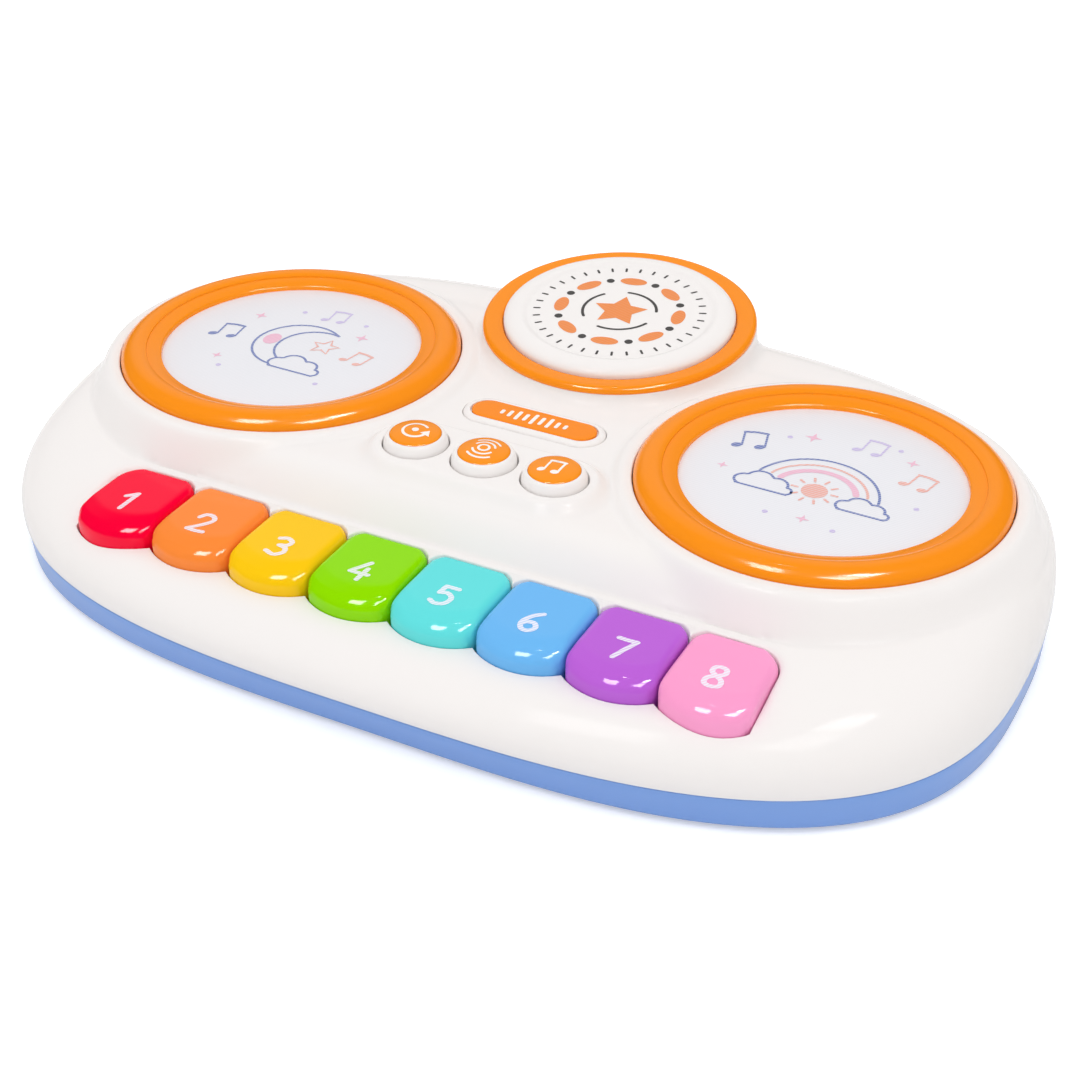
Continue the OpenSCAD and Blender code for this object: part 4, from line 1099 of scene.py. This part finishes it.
def make_drum_ring(side):
    """A sloping lip around the head, a groove, and a wide round bead."""
    crest_z = RING_CREST_Z - HOOP_SINK
    crest_r = HOOP_R - HOOP_BEAD[0]
    lip_r = HOOP_INNER_R + HOOP_LIP[0]
    lip_z = HEAD_Z + HOOP_LIP[1]
    slope_r = crest_r - HOOP_FALL[0] - HOOP_STEP[0] - lip_r
    slope_z = crest_z - HOOP_FALL[1] - HOOP_STEP[1] - lip_z
    profile = [(HOOP_INNER_R, RING_FOOT_Z), (HOOP_INNER_R, lip_z - HOOP_LIP_R)]
    profile += arc(lip_r, lip_z - HOOP_LIP_R, HOOP_LIP[0], HOOP_LIP_R, 175, 110, 8)
    for s in np.linspace(0.08, 1, 10):
        profile.append((lip_r + slope_r * s, lip_z + slope_z * s * (1.5 - 0.5 * s)))
    for s in np.linspace(1, 0, 9):
        profile.append((crest_r - HOOP_FALL[0] * s, crest_z - HOOP_FALL[1] * s ** 2))
    profile += arc(crest_r, crest_z - HOOP_BEAD[1], *HOOP_BEAD, 90, 0, 20)[1:]
    profile += [(HOOP_R, RING_FOOT_Z + 0.5), (HOOP_R - 0.4, RING_FOOT_Z), (HOOP_INNER_R, RING_FOOT_Z)]
    ring = Builder()
    ring.revolve(profile[::-1], 180)
    ring.make(f"{side}_drum_hoop", f"{side}_drum", DRUM_PLACE[side], replaces=f"{side}_drum_ring")


def make_drum_head(side):
    head = Builder()
    head.revolve([(0, RING_FOOT_Z), (HEAD_R, RING_FOOT_Z), (HEAD_R, HEAD_Z - 0.4), (HEAD_R, HEAD_Z - 0.05),
                  (HEAD_R - 0.2, HEAD_Z), (20, HEAD_Z), (0, HEAD_Z)], 120)
    head.make(f"{side}_drum_sheet", f"{side}_drum", DRUM_PLACE[side], replaces=f"{side}_drum_head")


LINE_W = 0.75
DRUM_INKS = {"blue": printed("ink_blue", "#4a66b4", SHEET_CODE, 0.4),
             "pink": printed("ink_pink", "#f2b6cf", SHEET_CODE, 0.3),
             "salmon": printed("ink_salmon", "#f1a493", SHEET_CODE),
             "lilac": printed("ink_lilac", "#c7b6e6", SHEET_CODE)}
# Place, size and turn of each note, place and size of each sparkle, and place of each dot
NOTES = {"left": {"blue": (-22, -3, 7.5, 8), "salmon": (22, -1, 6.5, -10), "lilac": (3, 20, 6.5, 6)},
         "right": {"blue": (-23, 8, 8, 14), "salmon": (24, 7, 7, -12), "lilac": (7, 19, 7, -6)}}
SPARKLES = {"left": [(16, 14, 2.4), (-20, 13, 2.2), (-17, -15, 1.8)],
            "right": [(-10, 20, 2.6), (19, 19, 2), (-27, -5, 1.7), (2, -21, 2)]}
DOTS = {"left": [(-9, 21), (13, 21.5), (19, -17), (-13, -20)],
        "right": [(-16, 17.5), (14, 24), (27, -3), (-8, -22), (11, -23)]}
DOT_R = 0.8
# A cloud's bumps: middle, radius, first and last angle
CLOUD = [(-0.62, 0.1, 0.3, 250, 95), (-0.2, 0.34, 0.4, 165, 42), (0.36, 0.2, 0.36, 118, -5),
         (0.72, -0.02, 0.2, 80, -90)]
BOW_Y = -7.5
SUN_Y = -6.5


def note(ink, x, y, size, turn):
    """Two notes under a beam."""

    def at(points):
        return turned(np.array(points, float) * size, x, y, turn)

    for foot in (-0.45, 0.35):
        stem = foot + 0.02
        ink.fill(at(ellipse(foot - 0.16, 0, 0.2, 0.14, 25, 20)))
        ink.ribbon(at([(stem, 0.05), (stem, 0.5), (stem, 0.95)]), LINE_W * 0.8)
    ink.ribbon(at([(-0.43, 0.95), (0, 1.0), (0.37, 0.95)]), LINE_W * 1.3)


def cloud(ink, x, y, size):
    """A cloud outline of round bumps over a level foot."""
    path = np.vstack([arc_path(*bump, 18) for bump in CLOUD] + [[(-0.7, -0.2)]])
    loop = smooth_path(path * size + [x, y], 4, closed=True)
    ink.ribbon(loop, LINE_W, closed=True)
    return loop


def outside(path, loops, margin):
    """The points of a path that keep a margin to closed loops and lie outside them."""
    keep = np.ones(len(path), bool)
    for loop in loops:
        keep &= ~inside_loop(*path.T, loop)
        keep &= path_distance(*path.T, np.vstack([loop, loop[:1]])) > margin
    return path[keep]


def draw_moon(ink):
    ink["pink"].fill(ellipse(-8.2, 1.5, 2.6, 3.4))
    haze = cloud(ink["blue"], 7.5, -11.5, 9.5)
    crescent = np.vstack([arc_path(6.2, 1, 11.2, 287, 73, 80), arc_path(1, 1, 13.5, 62, 298, 90)])
    ink["blue"].ribbon(outside(crescent, [haze], 0.2), LINE_W)
    ink["salmon"].ribbon(star(9, 4, 4.6), LINE_W, closed=True)


def draw_rainbow(ink):
    clouds = [cloud(ink["blue"], -13.5, -10, 9), cloud(ink["blue"], 14.5, -10.5, 8)]
    for r, name, wide in ((17.5, "blue", 1), (14.4, "salmon", 1), (11.3, "pink", 2.4)):
        bow = outside(arc_path(0, BOW_Y, r, 0, 180, 120), clouds, wide * LINE_W / 2 + 0.3)
        ink[name].ribbon(bow, LINE_W * wide)
    ink["salmon"].fill(ellipse(0, SUN_Y, 3.6, 3.6))
    for k in range(10):
        ink["salmon"].ribbon(np.array([spot(4.8, 36 * k), spot(6.4, 36 * k)]) + [0, SUN_Y], LINE_W)


def make_drum_print(side):
    ink = {name: Print(level(HEAD_Z)) for name in DRUM_INKS}
    if side == "left":
        draw_moon(ink)
    else:
        draw_rainbow(ink)
    for name, place in NOTES[side].items():
        note(ink[name], *place)
    for x, y, r in SPARKLES[side]:
        ink["pink"].fill(star(x, y, r, 4, 0.32))
    for x, y in DOTS[side]:
        ink["lilac"].fill(circle(x, y, DOT_R, 16))
    for name, material in DRUM_INKS.items():
        ink[name].make(f"{side}_drum_print_{name}", f"{side}_drum", "drum_sheet", material, DRUM_PLACE[side])


for hand in SIDES:
    make_drum_ring(hand)
    make_drum_head(hand)
    make_drum_print(hand)


# Disc and its ring
DISC_TOP = BEZEL_T + DISC_RISE
DISC_FLAT_R = 28.6
DISC_DISH = 0.8
DISC_DISH_RUN = 2.4
DISC_EDGE = (5, 2.6)
DISC_FLAT_Z = DISC_TOP - DISC_DISH
DISC_STEM = (4, -14)
BEZEL_INNER_R = DISC_R + SEEN_GAP
BEZEL_INNER_EDGE = 0.7
BEZEL_OUTER_EDGE = (1.6, 1.5)
# The ring's flat top: how far out from its inner edge, and how high above BEZEL_T
BEZEL_FLAT = [(2, -0.11), (3.2, -0.02), (4.2, 0.07)]
PETALS = 8
PETAL_TURN = 11
TICKS = 36


def make_disc():
    profile = [(0, DISC_FLAT_Z), (14, DISC_FLAT_Z), (DISC_FLAT_R - 2, DISC_FLAT_Z)]
    for s in np.linspace(0, 1, 9):
        rise = DISC_DISH * (3 * s ** 2 - 2 * s ** 3)
        profile.append((DISC_FLAT_R - 1 + DISC_DISH_RUN * s, DISC_FLAT_Z + rise))
    profile += arc(DISC_R - DISC_EDGE[0], DISC_TOP - DISC_EDGE[1], *DISC_EDGE, 86, 0, 20)
    profile += [(DISC_R, 0.9), (DISC_R - 0.3, 0.55), (0, 0.5)]
    stem_r, stem_z = DISC_STEM
    disc = Builder()
    disc.revolve(profile[::-1], 160)
    disc.revolve([(0, stem_z), (stem_r, stem_z), (stem_r, 0.6), (0, 0.6)], 48)
    disc.make("turning_disc", "disc", in_disc_frame, replaces="disc_plate")


def make_disc_ring():
    edge = BEZEL_INNER_EDGE
    wide, high = BEZEL_OUTER_EDGE
    profile = [(DISC_R - 2, 0), (DISC_R - 2, 0.36), (BEZEL_INNER_R, 0.4)]
    profile += arc(BEZEL_INNER_R + edge, BEZEL_T - 0.2 - edge, edge, edge, 180, 95, 8)
    profile += [(BEZEL_INNER_R + out, BEZEL_T + rise) for out, rise in BEZEL_FLAT]
    profile += arc(BEZEL_R - wide, BEZEL_T + 0.1 - high, wide, high, 84, 0, 14)
    profile += [(BEZEL_R, 0.4), (BEZEL_R - 0.2, 0), (DISC_R - 2, 0)]
    ring = Builder()
    ring.revolve(profile[::-1], 160)
    ring.make("disc_hoop", "case", in_disc_frame, replaces="disc_ring")


def make_disc_print():
    orange = Print(level(DISC_FLAT_Z))
    black = Print(level(DISC_FLAT_Z))
    for k in range(PETALS):
        turn = 360 / PETALS * k + PETAL_TURN
        orange.fill(ellipse(*spot(18.2, turn), 4.2, 2.1, turn + 90, 28))
        black.fill(circle(*spot(18.6, turn + 180 / PETALS), 1.25, 20))
    orange.fill(star(0, 0, 8.6, 5, 0.52, 100))
    for start in (20, 140, 260):
        black.ribbon(arc_path(0, 0, 11.2, start, start + 80, 24), 0.9)
    for k in range(TICKS):
        black.ribbon([spot(24.4, 360 / TICKS * k), spot(26, 360 / TICKS * k)], 0.7)
    ink_orange = printed("ink_orange", "#f58a33", WHITE_CODE, 0.08)
    ink_black = printed("ink_black", "#3a3634", WHITE_CODE, 0.04)
    orange.make("disc_print_orange", "disc", "white_plastic", ink_orange, in_disc_frame)
    black.make("disc_print_black", "disc", "white_plastic", ink_black, in_disc_frame)


make_disc()
make_disc_ring()
make_disc_print()


# Buttons
STEM_R = 2.6
FLANGE_Z = DECK_H - 4.8
FLANGE_T = 2
RECESS_T = 0.8
CAP_CROWN = 1
CAP_SEAT_Z = CAP_TOP_Z - CAP_CROWN - 0.15
CAP_BALL = (CAP_R ** 2 + CAP_CROWN ** 2) / (2 * CAP_CROWN)
BUTTON_EDGE = (1.7, 4)
PILL_EDGE = (2, PILL_RISE + 0.3)
PILL_TOP_Z = DECK_H + PILL_RISE
PILL_RECESS_Z = PILL_TOP_Z - 0.9
PILL_FOOT_X = 10
PILL_BARS = (1.2, 2.4, 3.8, 2.8, 4.6, 3.2, 4.2, 2.2, 1.2)
PILL_BAR_PITCH = 2.5


def push_profile(r, flange_r, edge, steps, top, recess_r, recess_z):
    """Radii and heights of a flange, a side with a round edge, and a recess for the orange piece."""
    flange_top = FLANGE_Z + FLANGE_T
    profile = [(0, FLANGE_Z), (flange_r, FLANGE_Z), (flange_r, flange_top), (r, flange_top)]
    profile += arc(r - edge[0], top - edge[1], *edge, 0, 90, steps)
    return profile + [(recess_r + 0.12, top), (recess_r + 0.06, top - 0.1), (recess_r + 0.05, recess_z),
                      (0, recess_z)]


def add_stem(builder, x):
    levels = [(0, STEM_Z), (STEM_R, STEM_Z), (STEM_R, FLANGE_Z)]
    builder.rings([with_height(circle(x, 0, r, 32), z) for r, z in levels])


def cap_height(x, y):
    return CAP_TOP_Z - CAP_BALL + np.sqrt(CAP_BALL ** 2 - x ** 2 - y ** 2)


def draw_icon(ink, name):
    """Plain signs: a turning arrow, waves around a point, and a pair of notes."""
    if name == "left":
        ink.ribbon(arc_path(0, 0, 3.5, 50, 350, 48), 0.8)
        ink.fill(star(3.5, -0.2, 1.7, 3, 0.5, 82))
        ink.fill(circle(0, 0, 1, 20))
    elif name == "centre":
        ink.ribbon(circle(0, 0, 1.5, 40), 0.7, closed=True)
        for start in (25, 205):
            ink.ribbon(arc_path(0, 0, 3.1, start, start + 130, 30), 0.65)
            ink.ribbon(arc_path(0, 0, 4.7, start + 20, start + 110, 30), 0.65)
    else:
        for foot in (-2.3, 1.7):
            ink.fill(ellipse(foot - 0.5, -2.5, 1.15, 0.85, 20))
            ink.ribbon(np.linspace((foot + 0.35, -2.4), (foot + 0.35, 2.6), 8), 0.65)
        ink.ribbon(np.linspace((-1.95, 2.55), (2.05, 2.9), 8), 1.1)


def make_button(name, x):
    place = shift(x, BUTTON_Y)
    recess_z = CAP_SEAT_Z - RECESS_T
    body = Builder()
    body.revolve(push_profile(BUTTON_R, BUTTON_R + 1.4, BUTTON_EDGE, 12, BUTTON_TOP_Z, CAP_R, recess_z), 96)
    add_stem(body, 0)
    body.make(f"{name}_button_body", f"{name}_push", place, replaces=f"{name}_button")
    dome = [(CAP_R, CAP_SEAT_Z - 0.75), (CAP_R, CAP_SEAT_Z - 0.05), (CAP_R - 0.08, CAP_SEAT_Z + 0.06)]
    dome += [(r, cap_height(r, 0)) for r in np.linspace(CAP_R - 0.25, 0, 14)]
    cap = Builder()
    cap.revolve(dome, 96)
    cap.make(f"{name}_button_dome", f"{name}_push", place, replaces=f"{name}_button_cap", material=CAP_ORANGE)
    ink = Print(cap_height)
    draw_icon(ink, name)
    ink.make(f"{name}_button_icon", f"{name}_push", "orange_plastic", ICON, place)


def stadium_rings(levels, half):
    """Rings around the long button from pairs of radius and height."""
    return [with_height(stadium(0, half, max(r, 1e-4), 96), z) for r, z in levels]


def make_pill():
    place = shift(0, PILL_Y)
    profile = push_profile(PILL_R, PILL_R + 1.5, PILL_EDGE, 9, PILL_TOP_Z, INSERT_R, PILL_RECESS_Z)
    body = Builder()
    body.rings(stadium_rings(profile, PILL_STRAIGHT))
    for x in (-PILL_FOOT_X, PILL_FOOT_X):
        add_stem(body, x)
    body.make("long_button_body", "music_push", place, replaces="music_button")
    foot_z = PILL_RECESS_Z + 0.05
    levels = [(0, foot_z), (INSERT_R, foot_z), (INSERT_R, INSERT_Z - 0.3), (INSERT_R - 0.1, INSERT_Z - 0.08),
              (INSERT_R - 0.35, INSERT_Z), (INSERT_R - 2, INSERT_Z), (0, INSERT_Z)]
    insert = Builder()
    insert.rings(stadium_rings(levels, INSERT_HALF - INSERT_R))
    insert.make("long_button_inlay", "music_push", place, replaces="music_button_insert",
                material=PILL_ORANGE)
    ink = Print(level(INSERT_Z))
    for k, tall in enumerate(PILL_BARS):
        x = (k - len(PILL_BARS) // 2) * PILL_BAR_PITCH
        ink.ribbon(np.linspace((x, -tall / 2), (x, tall / 2), 6), 1.15)
    ink.make("long_button_bars", "music_push", "orange_plastic", ICON, place)


for button_name, button_x in zip(BUTTONS, BUTTON_X):
    make_button(button_name, button_x)
make_pill()


# Springs and rubber domes
GUIDE_R = 44
GUIDE_TURNS = (90, 210, 330)
COIL_R = 3.6
COIL_WIRE = 0.45
COIL_TURNS = 5
COIL_SIDES = 10
MAT_LOW, MAT_HIGH = node_box("button_mat")
DOME_LOW_Z = MAT_LOW[2] + 1
DOME_HIGH_Z = MAT_HIGH[2]
DOME_FOOT_R = 5
DOME_TIP_R = 3.4
DOME_EDGE = 0.3


def give_way(piece):
    """Gives the piece its own copy of its mesh."""
    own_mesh(piece)


def make_springs(side):
    low, high = (corner[2] for corner in node_box(f"{side}_drum_springs"))
    turn = np.linspace(0, 2 * np.pi * COIL_TURNS, 22 * COIL_TURNS + 1)
    rise = np.linspace(low + COIL_WIRE, high - COIL_WIRE, len(turn))
    r, dz = circle(COIL_R, 0, COIL_WIRE, COIL_SIDES).T
    coils = Builder()
    for guide in GUIDE_TURNS:
        x, y = spot(GUIDE_R, guide) + np.array([SIDES[side] * DRUM_X, DRUM_Y])
        rings = [coords(x + r * math.cos(a), y + r * math.sin(a), z + dz) for a, z in zip(turn, rise)]
        coils.rings(rings[::-1])
        coils.add(rings[0], [list(range(COIL_SIDES))])
        coils.add(rings[-1], [list(range(COIL_SIDES))[::-1]])
    piece = coils.make(f"{side}_drum_coils", "case", replaces=f"{side}_drum_springs")
    give_way(piece)


def make_domes(name, places):
    """Rubber domes that one button presses."""
    levels = [(1e-4, DOME_LOW_Z), (DOME_FOOT_R, DOME_LOW_Z), (DOME_TIP_R, DOME_HIGH_Z - DOME_EDGE),
              (DOME_TIP_R - DOME_EDGE, DOME_HIGH_Z), (1e-4, DOME_HIGH_Z)]
    domes = Builder()
    for x, y in places:
        domes.rings([with_height(circle(x, y, r, 40), z) for r, z in levels])
    piece = domes.make(name, "case", slot="silicone")
    give_way(piece)


def make_mat():
    sheet = Builder()
    sheet.box(MAT_LOW, (*MAT_HIGH[:2], DOME_LOW_Z))
    sheet.make("button_mat_sheet", "case", replaces="button_mat")
    for name, x in zip(BUTTONS, BUTTON_X):
        make_domes(f"{name}_button_rubber", [(x, BUTTON_Y)])
    make_domes("long_button_rubber", [(-PILL_FOOT_X, PILL_Y), (PILL_FOOT_X, PILL_Y)])


for hand in SIDES:
    make_springs(hand)
make_mat()


# Stage, light and camera, in metres and watts
FLOOR_HALF = 4
FLOOR_COLOUR = (0.95, 0.95, 0.95, 1)
FLOOR_GLOW = 0.35
LIT_POINT = (0, 0, 0.03)
BACKDROP_AT = (-0.42, 0.70, 0.57)
BACKDROP_RANGE = {"From Min": 0.84, "From Max": 0.96, "To Min": 0.03, "To Max": 0.58}
SKY_LEVEL = 0.81
CAMERA_AT = (0.217835, -0.421197, 0.313924)
CAMERA_AXES = ((0.88996, 0.45603, 0.00115), (-0.24998, 0.48572, 0.83761), (0.38141, -0.74573, 0.54627))
CAMERA_LENS = 64.0137
# Name, place, size, power, and whether it is seen in gloss or else lights alone
LAMPS = [
    ("soft_box_left", (-0.14, -0.62, 1.02), (0.3, 0.5), 16.5, True),
    ("soft_box_right", (0.5, -0.52, 0.95), (0.3, 0.36), 12.5, True),
    ("soft_box_high", (0.46, -0.16, 0.965), (0.22, 0.2), 10, True),
    ("spot", (-0.12, 0.16, 1.2), (0.05, 0.05), 0.3, True),
    ("broad", (0.15, -0.4, 1.4), (1.2, 1.2), 5.6, False),
]


def stand(thing, axes, place):
    """Places an object by the directions of its own axes."""
    thing.matrix_world = Matrix([[axis[i] for axis in axes] + [place[i]] for i in range(3)] + [[0, 0, 0, 1]])


def make_floor():
    mesh = bpy.data.meshes.new("floor")
    s = FLOOR_HALF
    mesh.from_pydata([(-s, -s, 0), (s, -s, 0), (s, s, 0), (-s, s, 0)], [], [(0, 1, 2, 3)])
    shader = Shader("floor")
    seen = shader.node("LightPath", "Is Camera Ray")
    glow = shader.node("Math", "Value", {0: seen, 1: FLOOR_GLOW}, operation="MULTIPLY")
    shader.set(base_color=FLOOR_COLOUR, roughness=0.9, specular_ior_level=0.0, emission_color=(1, 1, 1, 1),
               emission_strength=glow)
    mesh.materials.append(shader.material)
    add_object("floor", mesh)


def make_world():
    """A white sky for the camera, an even one for light, and a bright patch on a dark one for gloss."""
    world = bpy.data.worlds.new("studio")
    bpy.context.scene.world = world
    sky = Tree(world, "Background")
    direction = sky.node("TexCoord", "Generated")
    towards = sky.node("VectorMath", "Value", {0: direction, 1: BACKDROP_AT}, operation="DOT_PRODUCT")
    patch = {"Value": towards, **BACKDROP_RANGE}
    glossy = {"Factor": sky.node("LightPath", "Is Glossy Ray"), "A": SKY_LEVEL,
              "B": sky.node("MapRange", "Result", patch)}
    seen = {"Factor": sky.node("LightPath", "Is Camera Ray"), "A": sky.node("Mix", "Result", glossy), "B": 1}
    sky.set(color=(1, 1, 1, 1), strength=sky.node("Mix", "Result", seen))


def area_light(name, place, size, power, shines):
    """A rectangular soft box that faces the part."""
    lamp = bpy.data.lights.new(name, "AREA")
    lamp.shape = "RECTANGLE"
    lamp.size, lamp.size_y = size
    lamp.energy = power
    box = add_object(name, lamp)
    box.visible_glossy = shines
    box.visible_diffuse = not shines
    direction = np.array(place) - np.array(LIT_POINT)
    back = direction / np.linalg.norm(direction)
    right = np.cross([0, 1, 0.001], back)
    right /= np.linalg.norm(right)
    stand(box, (right, np.cross(back, right), back), place)


def make_camera():
    camera = bpy.data.cameras.new("camera")
    camera.lens = CAMERA_LENS
    camera.sensor_width = 36
    camera.clip_start = 0.01
    eye = add_object("camera", camera)
    stand(eye, CAMERA_AXES, CAMERA_AT)
    bpy.context.scene.camera = eye


make_floor()
make_world()
for settings in LAMPS:
    area_light(*settings)
make_camera()
bpy.context.scene.view_settings.view_transform = "Standard"
